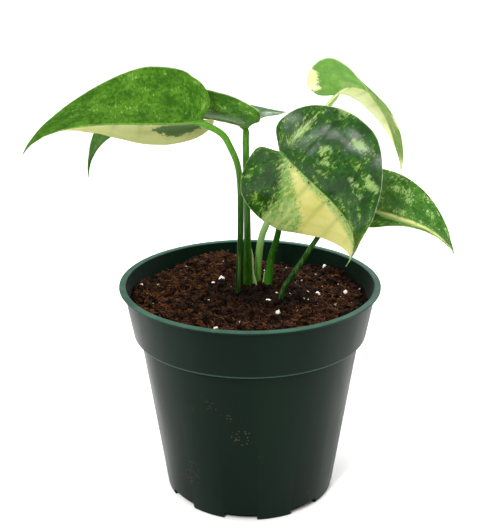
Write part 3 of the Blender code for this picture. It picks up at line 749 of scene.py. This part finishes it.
def half_outline(outline, rows):
    lobe, lobe_width, widest, sinus, shoulder, drawn_out = outline
    parts = (
        ((0, 0), (-0.55 * lobe, sinus), (-lobe, 0.45 * lobe_width), (-lobe, lobe_width)),
        ((-lobe, lobe_width), (-lobe, lobe_width + 0.75 * (1 - lobe_width)), (0.35 * widest, 1), (widest, 1)),
        ((widest, 1), (widest + shoulder, 1), (1 - drawn_out, 0.1), (1, 0)),
    )
    t = np.linspace(0, 1, 60)
    margin = np.concatenate([bezier(part, t)[(0 if i == 0 else 1) :] for i, part in enumerate(parts)])
    true_shape = np.array([1.0, 0.45])
    return evenly(margin * true_shape, rows)[0] / true_shape


def of_half(w, half):
    return w >= 0 if half == 0 else w < 0


class Blade:
    """A flat heart-shaped outline laid on a bent, twisted midrib; works on whole arrays of points."""

    def __init__(self, sizes):
        self.sizes = sizes
        self.path, self.length = evenly(bezier(sizes["midrib"], np.linspace(0, 1, CURVE_STEPS)), MIDRIB_STEPS)
        self.tangents = unit(np.gradient(self.path, axis=0))
        normals = carry(np.asarray(sizes["up"], float), self.tangents)
        turn = math.radians(sizes["twist"]) * np.linspace(0, 1, MIDRIB_STEPS)[:, None]
        self.normals = normals * np.cos(turn) + np.cross(self.tangents, normals) * np.sin(turn)

    def axis(self, s):
        """Points of the midrib with its two directions, which roll back behind its start for s below 0."""
        place = np.clip(s / self.length, 0.0, 1.0) * (MIDRIB_STEPS - 1)
        i = np.minimum(place.astype(int), MIDRIB_STEPS - 2)
        share = (place - i)[:, None]
        point, tangent, up = (
            row[i] * (1 - share) + row[i + 1] * share for row in (self.path, self.tangents, self.normals)
        )
        bend = math.radians(self.sizes["roll_back"]) / self.length
        angle = (np.maximum(-s, 0.0) * bend)[:, None]
        sine, cosine = np.sin(angle), np.cos(angle)
        point = point - tangent * sine / bend + up * (1 - cosine) / bend
        return point, tangent * cosine - up * sine, up * cosine + tangent * sine

    def points(self, s, w, half):
        """Points of space for places of one flat half, s along the midrib and w out from it."""
        point, tangent, up = self.axis(s)
        across = np.cross(tangent, up) * (1 if half == 0 else -1)
        share = s / self.length
        fold, tip_fold, lobe_fold, curl = (
            math.radians(self.sizes[key][half]) for key in ("fold", "tip_fold", "lobe_fold", "curl")
        )
        fold = fold + (tip_fold - fold) * np.clip(share, 0, 1) + lobe_fold * np.clip(-share, 0, 1)
        bend = curl / self.sizes["half_widths"][half]
        out = (np.sin(fold + bend * w) - np.sin(fold)) / bend
        rise = (np.cos(fold) - np.cos(fold + bend * w)) / bend
        return point + across * out[:, None] + up * rise[:, None]


def polygon_distance(points, outline):
    """Signed distance of each point to a closed outline, positive inside."""
    nearest = np.full(len(points), 1e9)
    inside = np.zeros(len(points), bool)
    for a, b in zip(outline, np.roll(outline, -1, axis=0)):
        edge = b - a
        share = np.clip(((points - a) @ edge) / max(edge @ edge, 1e-12), 0, 1)
        nearest = np.minimum(nearest, np.linalg.norm(points - a - share[:, None] * edge, axis=1))
        if a[1] != b[1]:
            spans = (a[1] > points[:, 1]) != (b[1] > points[:, 1])
            inside ^= spans & (points[:, 0] < a[0] + edge[0] * (points[:, 1] - a[1]) / edge[1])
    return np.where(inside, nearest, -nearest)


def smooth_path(points):
    """A smooth curve through all the points."""
    p = np.asarray(points, float)
    padded = np.concatenate([[2 * p[0] - p[1]], p, [2 * p[-1] - p[-2]]])
    out = []
    for i in range(len(p) - 1):
        a, b, c, d = padded[i : i + 4]
        for f in np.arange(SPAN_STEPS) / SPAN_STEPS:
            bent = 2 * b + (c - a) * f + (2 * a - 5 * b + 4 * c - d) * f**2 + (3 * b - a - 3 * c + d) * f**3
            out.append(0.5 * bent)
    return np.array([*out, p[-1]])


class Petiole:
    """The path from the foot in the soil to the start of the midrib, its radius and its side directions."""

    def __init__(self, sizes):
        (x, y), *knees = sizes["petiole"]
        foot, middle, end = sizes["radii"]
        blade = Blade(sizes)
        joint, tangent, normal = blade.path[0], blade.tangents[0], blade.normals[0]
        start = joint + tangent * END_INSIDE - normal * (end + END_GAP)
        under = joint + tangent * UNDER_INSIDE - normal * UNDER_DEPTH
        bent = smooth_path([(x, y, FOOT_Z), (x, y, STRAIGHT_TO_Z), *knees, start, under])
        self.path = evenly(bent, STALK_RINGS)[0]
        above = np.maximum(self.path[:, 2] - STRAIGHT_TO_Z + 2.0, 0.0)
        share = np.linspace(0, 1, STALK_RINGS)
        radius = middle + (end - middle) * share + (foot - middle) * np.exp(-((above / SHEATH_LENGTH) ** 2))
        taper = np.clip((1.0 - share) / TAPER_SHARE, 0.0, 1.0) ** 0.7
        self.radius = radius * (0.3 + 0.7 * taper)
        tangents = unit(np.gradient(self.path, axis=0))
        self.sides = carry(np.array([1.0, 0.0, 0.0]), tangents)
        self.others = np.cross(tangents, self.sides)

    def outward(self, i, angle):
        return math.cos(angle) * self.sides[i] + math.sin(angle) * self.others[i]


# Geometry Nodes for what is scattered


def scatter_tree(name, material):
    """A node tree that scatters a collection's bits over a surface, turned and sized at random."""
    tree = bpy.data.node_groups.new(name, "GeometryNodeTree")
    face = tree.interface
    face.new_socket("Geometry", in_out="INPUT", socket_type="NodeSocketGeometry")
    face.new_socket("Bits", in_out="INPUT", socket_type="NodeSocketCollection")
    for label, default in SCATTER_INPUTS.items():
        kind = "NodeSocketInt" if isinstance(default, int) else "NodeSocketFloat"
        face.new_socket(label, in_out="INPUT", socket_type=kind).default_value = default
    face.new_socket("Geometry", in_out="OUTPUT", socket_type="NodeSocketGeometry")
    put = partial(add, tree)
    given = tree.nodes.new("NodeGroupInput").outputs
    seeds = [put("whole_sum", given["Seed"], offset) for offset in range(4)]
    surface = given["Geometry"]
    density = put("divide", given["Count"], put("total", surface, put("face_area")))
    patches = put("noise", put("position"), given["Patch size"], 2.0)
    patchy = put("step", patches, 0.35, 0.65, given["Sparse"], given["Dense"])
    points = put("spread", surface, put("multiply", density, patchy), seeds[0])
    raised = put("move", points, put("vector", 0.0, 0.0, given["Lift"]))
    tilt = given["Tilt"]
    back = put("multiply", tilt, -1.0)
    low, high = put("vector", back, back, 0.0), put("vector", tilt, tilt, math.tau)
    turn = put("turn", put("random_vector", low, high, seeds[1]))
    scale = put("random_size", given["Smallest"], given["Largest"], seeds[2])
    pick = put("random_pick", 0, 99, seeds[3])
    copies = put("copies", raised, put("bits", given["Bits"], True, True), True, pick, turn, scale)
    coated = put("coat", put("realize", copies), material)
    feed(tree.nodes.new("NodeGroupOutput"), {0: coated})
    return tree


def scatter(name, surface, bits, material, values):
    """Bake one kind of bit scattered over the surface, and remove the bits it was made from."""
    piece = place_in_scene(name, surface.data.copy())
    group = bpy.data.collections.new(name + "_bits")
    bpy.context.scene.collection.children.link(group)
    for bit in bits:
        bpy.context.scene.collection.objects.unlink(bit)
        group.objects.link(bit)
    tree = scatter_tree(name, material)
    modifier = piece.modifiers.new("scatter", "NODES")
    modifier.node_group = tree
    sockets = {item.name: item.identifier for item in tree.interface.items_tree if item.in_out == "INPUT"}
    for label, value in {"Bits": group, **values}.items():
        modifier[sockets[label]] = value
    bake(piece)
    for bit in bits:
        bpy.data.objects.remove(bit, do_unlink=True)
    bpy.data.collections.remove(group)
    piece.data.materials.clear()
    piece.data.materials.append(material)
    piece.data.polygons.foreach_set("use_smooth", [True] * len(piece.data.polygons))
    return piece


def lumpy_bit(name, rng, stretch_to, roughness=0.25):
    """One irregular grain about 1 mm in radius."""
    bm = bmesh.new()
    bmesh.ops.create_icosphere(bm, subdivisions=1, radius=1.0)
    for vert in bm.verts:
        vert.co *= 1.0 + rng.uniform(-roughness, roughness)
        vert.co *= Vector(stretch_to)
    return piece_from_bmesh(name, bm, None)


def fibre_bit(name, rng, length, radius):
    """One curved fibre lying along X, three-sided."""
    bm = bmesh.new()
    bend, sway = rng.uniform(-0.5, 0.5), rng.uniform(-0.25, 0.25)
    rings = []
    for i in range(6):
        t = i / 5 - 0.5
        centre = Vector((length * t, length * bend * t * t * 2, length * sway * math.sin(5 * t)))
        thick = radius * (1.0 - 1.2 * t * t)
        turns = (0.0, math.tau / 3, 2 * math.tau / 3)
        corners = (Vector((0, math.cos(a) * thick, math.sin(a) * thick)) for a in turns)
        rings.append([bm.verts.new(centre + corner) for corner in corners])
    for near, far in zip(rings, rings[1:]):
        join_rings(bm, near, far)
    bm.faces.new(rings[0])
    bm.faces.new(rings[-1][::-1])
    return piece_from_bmesh(name, bm, None)


# Leaves


def blade_plan(sizes, length):
    """The flat blade as triangles over its margin, its midrib and evenly spread points."""
    margin = half_outline(sizes["outline"], MARGIN_ROWS)
    near, far = (margin * (length, width * sign) for width, sign in zip(sizes["half_widths"], (1, -1)))
    border = np.concatenate([near, far[-2:0:-1]])
    edges = [(i, (i + 1) % len(border)) for i in range(len(border))]
    rib = np.linspace(0.0, length, int(length / RIB_SPACING) + 1)[1:-1]
    line = [0, *range(len(border), len(border) + len(rib)), len(near) - 1]
    edges += list(zip(line, line[1:]))
    rows = [(w, RIB_SPACING) for w in RIB_ROWS]
    first = RIB_ROWS[-1] + POINT_SPACING
    rows += [(w, POINT_SPACING) for w in np.arange(first, WIDEST_HALF, POINT_SPACING * 0.87)]
    spread = []
    for index, (w, spacing) in enumerate(rows):
        for s in np.arange(-0.3 * length + 0.5 * spacing * (index % 2), length, spacing):
            spread += [(s, w), (s, -w)]
    spread = np.array(spread)
    clear = polygon_distance(spread, border) > 0.55 * RIB_SPACING
    flat = [Vector(p) for p in (*border, *((s, 0.0) for s in rib), *spread[clear])]
    verts, _, faces = delaunay_2d_cdt(flat, edges, [list(range(len(border)))], 1, 1e-4)[:3]
    return np.array([tuple(v) for v in verts]), np.array([tuple(f) for f in faces])


def vein_place(plan, sizes, length):
    """Each flat point's place among the side veins: along the margin from sinus to tip, and out from the midrib."""
    margin = half_outline(sizes["outline"], VEIN_ROWS)
    root = np.maximum.accumulate(np.clip((margin[:, 0] + 0.10) / 1.10, 0, 1) ** 1.25)
    along, out = np.linspace(0, 1, VEIN_ROWS)[:, None], np.linspace(0, 1, VEIN_COLUMNS)[None]
    s = (root[:, None] + (margin[:, :1] - root[:, None]) * out**1.2) * length
    values = np.stack([(along + 0 * out).ravel(), (out + 0 * along).ravel()], -1)
    places = np.zeros((len(plan), 2))
    for half, width in enumerate(sizes["half_widths"]):
        w = margin[:, 1:] * out * width
        tree = KDTree(s.size)
        for i, (a, b) in enumerate(zip(s.ravel(), w.ravel())):
            tree.insert((a, b, 0.0), i)
        tree.balance()
        for i in np.flatnonzero(of_half(plan[:, 1], half)):
            found = tree.find_n((plan[i, 0], abs(plan[i, 1]), 0.0), 4)
            weights = np.array([1.0 / (distance + 0.05) ** 2 for _, _, distance in found])
            places[i] = weights @ values[[index for _, index, _ in found]] / weights.sum()
    return places


def markings_at(plan, sizes, length, kind):
    """How far each flat point lies inside the leaf's markings of one kind, as 0 to 1 across their soft edges."""
    inside = np.zeros(len(plan))
    for marking, half, outline in sizes["markings"]:
        if marking != kind:
            continue
        side = plan[:, 1] >= -1e-6 if half == 0 else plan[:, 1] <= 1e-6
        shares = np.stack([plan[:, 0] / length, np.abs(plan[:, 1]) * (1 / sizes["half_widths"][half])], -1)
        depth = polygon_distance(shares * MARK_STRETCH, np.array(outline) / 100 * MARK_STRETCH)
        depth = np.clip(0.5 + depth / MARK_SOFTNESS, 0, 1)
        inside = np.where(side, np.maximum(inside, depth), inside)
    return inside


def add_blade(bm, layers, sizes, settings):
    """A thin blade with a grooved upper side, a raised midrib below, side veins and a soft unevenness."""
    blade = Blade(sizes)
    length = blade.length
    plan, faces = blade_plan(sizes, length)
    points = np.zeros((len(plan), 3))
    for half in (0, 1):
        side = of_half(plan[:, 1], half)
        points[side] = blade.points(plan[side, 0], np.abs(plan[side, 1]), half)
    a, b, c = (points[faces[:, k]] for k in range(3))
    turned = np.cross(b - a, c - a)
    normals = np.zeros_like(points)
    for k in range(3):
        np.add.at(normals, faces[:, k], turned)
    normals = -unit(normals)

    share = np.clip(plan[:, 0] / length, 0.0, 1.0)
    across = np.abs(plan[:, 1])
    veins = vein_place(plan, sizes, length)
    nearest = np.min(np.abs(veins[:, :1] - SIDE_VEINS[None]), axis=1)
    vein = np.exp(-((nearest / VEIN_WIDTH) ** 2)) * np.clip(1.15 - veins[:, 1], 0, 1)
    taper = (1.0 - share) ** 0.8
    waves = np.array([noise.noise(Vector((s * 0.045, w * 0.06, length))) for s, w in plan])
    ripples = np.array([noise.noise(Vector((s * 0.15, w * 0.15, length + 9.0))) for s, w in plan])
    quilting = np.cos(math.tau * (veins[:, 0] - SIDE_VEINS[0]) / (SIDE_VEINS[1] - SIDE_VEINS[0])) * veins[:, 1]
    lift = WAVE_HEIGHT * waves * np.clip(across / 8, 0, 1) + RIPPLE_HEIGHT * ripples - QUILTING_DEPTH * quilting
    points = points + normals * lift[:, None]
    thick = settings.thickness / MM
    vein_depth = settings.vein_depth / MM
    groove = GROOVE_DEPTH * np.exp(-((across / GROOVE_WIDTH) ** 2)) * taper + vein_depth * vein
    ridge = RIDGE_DEPTH * np.exp(-((across / RIDGE_WIDTH) ** 2)) * taper + VEIN_UNDER * vein_depth * vein
    values = {kind: markings_at(plan, sizes, length, kind) for kind in MARKING_EDGES}
    values["midrib"] = np.exp(-((across / (0.5 + 0.5 * taper)) ** 2)) * np.clip(taper * 3, 0, 1)
    values["margin"] = np.clip((veins[:, 1] - MARGIN_STARTS) / 0.07, 0, 1)
    values["vein"] = vein
    sheets = []
    for under, offset in enumerate((thick / 2 - groove, -(thick / 2 + ridge))):
        sheet = [bm.verts.new(p) for p in (points + normals * offset[:, None]).tolist()]
        for i, vert in enumerate(sheet):
            vert[layers["under"]] = under
            vert[layers["vein_space"]] = (veins[i, 0], veins[i, 1] * (1 if plan[i, 1] >= 0 else -1), length * 0.1)
            for key, value in values.items():
                vert[layers[key]] = value[i]
        sheets.append(sheet)
    tops, unders = sheets
    uses = {}
    for a, b, c in faces.tolist():
        bm.faces.new((tops[a], tops[c], tops[b]))
        bm.faces.new((unders[a], unders[b], unders[c]))
        for pair in ((a, b), (b, c), (c, a)):
            uses.setdefault(tuple(sorted(pair)), []).append(pair)
    for pairs in uses.values():
        if len(pairs) == 1:
            a, b = pairs[0]
            bm.faces.new((tops[a], tops[b], unders[b], unders[a]))


def add_stalk(bm, layers, petiole):
    """The petiole from the soil to the start of the midrib."""
    rings = []
    for i, (centre, radius) in enumerate(zip(petiole.path, petiole.radius)):
        ring = []
        for k in range(STALK_SIDES):
            vert = bm.verts.new(centre + radius * petiole.outward(i, math.tau * k / STALK_SIDES))
            vert[layers["along"]] = i / (STALK_RINGS - 1)
            ring.append(vert)
        rings.append(ring)
    made = [bm.faces.new(rings[0][::-1]), bm.faces.new(rings[-1])]
    for lower, upper in zip(rings, rings[1:]):
        for k in range(STALK_SIDES):
            n = (k + 1) % STALK_SIDES
            made.append(bm.faces.new((lower[k], lower[n], upper[n], upper[k])))
    for face in made:
        face.material_index = 1


def add_sheath(bm, layers, petiole, low, high, start, wrap, width):
    """A thin membrane along one side of a petiole's foot, widest in its middle."""
    rows = []
    for i, (centre, radius) in enumerate(zip(petiole.path, petiole.radius)):
        if not low <= centre[2] <= high:
            continue
        t = (centre[2] - low) / (high - low)
        reach = width * (1.0 - t) ** 0.6 * (0.75 + 0.25 * math.sin(9.0 * t))
        row = []
        for k in range(SHEATH_COLUMNS + 1):
            u = k / SHEATH_COLUMNS
            outward = petiole.outward(i, start + wrap * u * (1.0 - 0.4 * t))
            pair = []
            for layer in (-0.5, 0.5):
                vert = bm.verts.new(centre + outward * (radius * 0.93 + reach * u + layer * SHEATH_THICKNESS))
                vert[layers["margin"]] = u
                vert[layers["along"]] = t
                pair.append(vert)
            row.append(pair)
        rows.append(row)
    corners = []
    for lower, upper in zip(rows, rows[1:]):
        for k in range(SHEATH_COLUMNS):
            for layer in (0, 1):
                corners.append((lower[k][layer], lower[k + 1][layer], upper[k + 1][layer], upper[k][layer]))
        for k in (0, SHEATH_COLUMNS):
            corners.append((*lower[k], *upper[k][::-1]))
    for row in (rows[0], rows[-1]):
        for near, far in zip(row, row[1:]):
            corners.append((*near, *far[::-1]))
    made = [bm.faces.new(four) for four in corners]
    for face in made:
        face.material_index = 2
    bmesh.ops.recalc_face_normals(bm, faces=made)


class MONSTERA_OT_leaves(bpy.types.Operator):
    """Build the five leaves, each a blade on its petiole"""

    bl_idname = "monstera.leaves"
    bl_label = "Build leaves"

    def execute(self, context):
        settings = context.scene.monstera_leaf
        for name, sizes in LEAVES.items():
            bm = bmesh.new()
            layers = {key: bm.verts.layers.float.new(key) for key in POINT_VALUES}
            layers["vein_space"] = bm.verts.layers.float_vector.new("vein_space")
            add_blade(bm, layers, sizes, settings)
            petiole = Petiole(sizes)
            add_stalk(bm, layers, petiole)
            for sheath in SHEATHS.get(name, ()):
                add_sheath(bm, layers, petiole, *sheath)
            piece = piece_from_bmesh("living_" + name, bm, leaf_material(name, settings))
            piece.data.materials.append(stalk_material(name, settings))
            piece.data.materials.append(sheath_material(settings))
            piece.data.set_sharp_from_angle(angle=LEAF_SHARP_ANGLE)
            enter(piece, name, name)
        return {"FINISHED"}


# Pot and soil


class MONSTERA_OT_pot(bpy.types.Operator):
    """Build the nursery pot, with its lip, collar and drain notches"""

    bl_idname = "monstera.pot"
    bl_label = "Build pot"

    def execute(self, context):
        settings = context.scene.monstera_pot
        lip_foot = POT_HEIGHT - LIP_THICKNESS
        ledge = COLLAR_FOOT_Z + WALL
        profile = (
            (0.0, 0.0),
            (BASE_RADIUS - 12.0, 0.0),
            (BASE_RADIUS, 0.0),
            (BODY_TOP_RADIUS, COLLAR_FOOT_Z),
            (COLLAR_FOOT_RADIUS, COLLAR_FOOT_Z),
            (COLLAR_TOP_RADIUS, lip_foot),
            (LIP_RADIUS, lip_foot),
            (LIP_RADIUS, POT_HEIGHT),
            (inner_radius(POT_HEIGHT), POT_HEIGHT),
            (inner_radius(ledge), ledge),
            (inner_radius(ledge - 0.01), ledge),
            (inner_radius(FLOOR), FLOOR),
            (0.0, FLOOR),
        )
        spun = spin_profile(rounded(profile), settings.segments)
        pot = piece_from_bmesh("nursery_pot", spun, plastic_material(settings))
        cut_notches(pot)
        mesh = pot.data
        mesh.set_sharp_from_angle(angle=POT_SHARP_ANGLE)
        inner = mesh.attributes.new("inner", "FLOAT", "POINT")
        for i, vert in enumerate(mesh.vertices):
            z = vert.co.z / MM
            inner.data[i].value = float(z > 1.0 and math.hypot(vert.co.x, vert.co.y) / MM < inner_radius(z) + 0.25)
        enter(pot, "pot_plastic", "pot")
        return {"FINISHED"}


def cut_notches(pot):
    """Open the drain notches through the corner of the base."""
    bm = bmesh.new()
    for k in range(NOTCH_COUNT):
        angle = NOTCH_TURN - math.pi / 2 + math.tau * k / NOTCH_COUNT
        place = Matrix.Rotation(angle, 4, "Z") @ Matrix.Translation((BASE_RADIUS + 1.0, 0.0, 0.0))
        size = Matrix.Diagonal((2 * NOTCH_DEPTH, NOTCH_WIDTH, 2 * NOTCH_HEIGHT, 1.0))
        bmesh.ops.create_cube(bm, size=1.0, matrix=place @ size)
    cutter = piece_from_bmesh("notch_cutter", bm, None, smooth=False)
    cut = pot.modifiers.new("notches", "BOOLEAN")
    cut.operation = "DIFFERENCE"
    cut.solver = "EXACT"
    cut.object = cutter
    bake(pot)
    bpy.data.objects.remove(cutter, do_unlink=True)


class MONSTERA_OT_soil(bpy.types.Operator):
    """Build the potting mix with an uneven, crumbly top"""

    bl_idname = "monstera.soil"
    bl_label = "Build soil"

    def execute(self, context):
        settings = context.scene.monstera_soil
        bm = bmesh.new()
        rim = inner_radius(SOIL_EDGE_Z + 3.0) - CLEARANCE
        rings = [soil_ring(bm, rim * (i / SOIL_RINGS) ** 0.9, i % 2) for i in range(1, SOIL_RINGS + 1)]
        middle = bm.verts.new((0.0, 0.0, crumbly_height(0.0, 0.0)))
        for k in range(SOIL_SEGMENTS):
            bm.faces.new((middle, rings[0][k], rings[0][(k + 1) % SOIL_SEGMENTS]))
        for z in (COLLAR_FOOT_Z + WALL + 0.4, COLLAR_FOOT_Z - 4.0, 40.0, FLOOR + CLEARANCE):
            rings.append(soil_ring(bm, inner_radius(z) - CLEARANCE, SOIL_RINGS % 2, z))
        for near, far in zip(rings, rings[1:]):
            join_rings(bm, near, far)
        bm.faces.new(rings[-1][::-1])
        bmesh.ops.recalc_face_normals(bm, faces=bm.faces)
        soil = piece_from_bmesh("potting_mix_bed", bm, mix_material(settings))
        enter(soil, "potting_mix", "soil")
        return {"FINISHED"}


def soil_ring(bm, radius, odd, z=None):
    """One ring of the mix, on its crumbly top where no height is given; odd rings are turned by half a step."""
    ring = []
    for k in range(SOIL_SEGMENTS):
        angle = math.tau * (k + 0.5 * odd) / SOIL_SEGMENTS
        x, y = radius * math.cos(angle), radius * math.sin(angle)
        ring.append(bm.verts.new((x, y, crumbly_height(x, y) if z is None else z)))
    return ring


def top_surface():
    """The top of the mix alone, for the loose bits to lie on."""
    bm = bmesh.new()
    radius = inner_radius(SOIL_EDGE_Z)
    bmesh.ops.create_grid(bm, x_segments=SCATTER_GRID, y_segments=SCATTER_GRID, size=radius)
    for vert in list(bm.verts):
        if math.hypot(vert.co.x, vert.co.y) > radius - SCATTER_INSET:
            bm.verts.remove(vert)
        else:
            vert.co.z = crumbly_height(vert.co.x, vert.co.y)
    return piece_from_bmesh("scatter_surface", bm, None)


class MONSTERA_OT_grit(bpy.types.Operator):
    """Scatter the peat crumbs, coir fibres, bark chips and perlite over the mix"""

    bl_idname = "monstera.grit"
    bl_label = "Scatter grit"

    def execute(self, context):
        settings = context.scene.monstera_soil
        rng = random.Random(settings.seed)
        surface = top_surface()
        size = settings.crumb_size / MM
        peat = crumb_material("peat_crumbs", settings.moist, "#2E1A10", 0.9)
        coir = crumb_material("coir_fibre", "#1C0E06", settings.fibre, 0.8)
        bark = crumb_material("bark_chips", "#120904", settings.bark, 0.75)
        perlite = perlite_material(settings)
        crumbs = [lumpy_bit(f"crumb_{k}", rng, (size, size * 0.85, size * 0.75)) for k in range(6)]
        fibres = [fibre_bit(f"fibre_{k}", rng, 5.5, 0.17) for k in range(8)]
        chips = [lumpy_bit(f"chip_{k}", rng, (2.2, 1.1, 0.5), roughness=0.4) for k in range(6)]
        grains = [lumpy_bit(f"grain_{k}", rng, (0.8, 0.7, 0.65), roughness=0.35) for k in range(5)]
        stock = (
            (peat, settings.crumbs, crumbs),
            (coir, settings.fibres, fibres),
            (bark, settings.chips, chips),
            (perlite, settings.grains, grains),
        )
        for index, (loose, (material, count, bits)) in enumerate(zip(LOOSE_BITS, stock)):
            name, smallest, largest, tilt, lift, *patches = loose
            given = (count, settings.seed + 10 * index, smallest, largest, tilt, lift * MM, *patches)
            enter(scatter(name, surface, bits, material, dict(zip(SCATTER_INPUTS, given))), "potting_mix")
        bpy.data.objects.remove(surface, do_unlink=True)
        bm = bmesh.new()
        for x, y, radius, *shape in PERLITE:
            length, height = shape or USUAL_GRAIN
            add_grain(bm, rng, (x, y), radius, (length, 1.0, height))
        enter(piece_from_bmesh("perlite_grains", bm, perlite), "potting_mix")
        return {"FINISHED"}


def add_grain(bm, rng, place, radius, stretch):
    """One listed perlite grain, half sunk in the mix and lumpy as popped rock is."""
    made = bmesh.ops.create_icosphere(bm, subdivisions=3, radius=radius)["verts"]
    turn = Matrix.Rotation(rng.uniform(-0.35, 0.35), 4, "Z") @ Matrix.Rotation(rng.uniform(-0.3, 0.3), 4, "X")
    offset = Vector([rng.uniform(0, 50) for _ in range(3)])
    rise = crumbly_height(*place) + PERLITE_SUNK * radius * stretch[2]
    for vert in made:
        lumps = noise.fractal(vert.co / radius * 1.6 + offset, 0.7, 2.2, 4)
        vert.co *= 1.0 + PERLITE_LUMPS * lumps
        vert.co *= Vector(stretch)
        vert.co = turn @ vert.co + Vector((*place, rise))


class MONSTERA_OT_stage(bpy.types.Operator):
    """Set the floor, the soft lights and the camera"""

    bl_idname = "monstera.stage"
    bl_label = "Set stage"

    def execute(self, context):
        settings = context.scene.monstera_stage
        bm = bmesh.new()
        bmesh.ops.create_grid(bm, x_segments=1, y_segments=1, size=FLOOR_REACH)
        material, put, shader = start_material("matt_studio_paper")
        mottle = put("noise", put("place"), PAPER_MOTTLE, 2.0)
        color = lay_over(put, settings.floor, (mottle, 0.1, "#ECECEA"))
        feed(shader, {"Base Color": color, "Roughness": 0.9, "Specular IOR Level": 0.1})
        piece_from_bmesh("studio_floor", bm, material, smooth=False)

        world = bpy.data.worlds.new("soft_studio")
        world.use_nodes = True
        context.scene.world = world
        put = partial(add, world.node_tree)
        height = put("parts", put("place", out="Generated"))
        glow = put("step", height, -0.1, 1.0, SKY_AT_HORIZON, SKY_OVERHEAD)
        feed(world.node_tree.nodes["Background"], {"Color": "#FFFFFF", "Strength": glow})

        target = Vector((0.0, 0.0, settings.target))
        for name, kind, place, size, power in LIGHTS:
            lamp = bpy.data.lights.new(name, kind)
            lamp.energy = power
            if kind == "SUN":
                lamp.angle = size[0]
            else:
                lamp.shape = "RECTANGLE"
                lamp.size, lamp.size_y = size
            light = place_in_scene(name, lamp)
            light.location = place
            light.visible_glossy = kind != "SUN"
            light.rotation_euler = (target - Vector(place)).to_track_quat("-Z", "Y").to_euler()

        camera = place_in_scene("camera", bpy.data.cameras.new("camera"))
        camera.data.lens = settings.lens
        camera.data.clip_end = CAMERA_REACH
        away = Vector((0.0, -math.cos(settings.elevation), math.sin(settings.elevation)))
        camera.location = target + away * settings.distance
        camera.rotation_euler = (-away).to_track_quat("-Z", "Y").to_euler()
        context.scene.camera = camera
        context.scene.view_settings.view_transform = "Standard"
        return {"FINISHED"}


OPERATORS = (MONSTERA_OT_pot, MONSTERA_OT_soil, MONSTERA_OT_grit, MONSTERA_OT_leaves, MONSTERA_OT_stage)
SETTINGS = {
    "monstera_pot": MonsteraPotSettings,
    "monstera_soil": MonsteraSoilSettings,
    "monstera_leaf": MonsteraLeafSettings,
    "monstera_stage": MonsteraStageSettings,
}


class MONSTERA_PT_panel(bpy.types.Panel):
    bl_label = "Potted Monstera"
    bl_idname = "MONSTERA_PT_panel"
    bl_space_type = "VIEW_3D"
    bl_region_type = "UI"
    bl_category = "Monstera"

    def draw(self, context):
        for operator in OPERATORS:
            self.layout.operator(operator.bl_idname)
        for group, kind in SETTINGS.items():
            box = self.layout.box()
            for key in kind.__annotations__:
                box.prop(getattr(context.scene, group), key)


def register():
    for kind in (*SETTINGS.values(), *OPERATORS, MONSTERA_PT_panel):
        bpy.utils.register_class(kind)
    for group, kind in SETTINGS.items():
        setattr(bpy.types.Scene, group, PointerProperty(type=kind))


def unregister():
    for group in SETTINGS:
        delattr(bpy.types.Scene, group)
    for kind in (MONSTERA_PT_panel, *OPERATORS, *SETTINGS.values()):
        bpy.utils.unregister_class(kind)


def main():
    register()
    for operator in OPERATORS:
        group, action = operator.bl_idname.split(".")
        getattr(getattr(bpy.ops, group), action)()


if __name__ == "__main__":
    main()
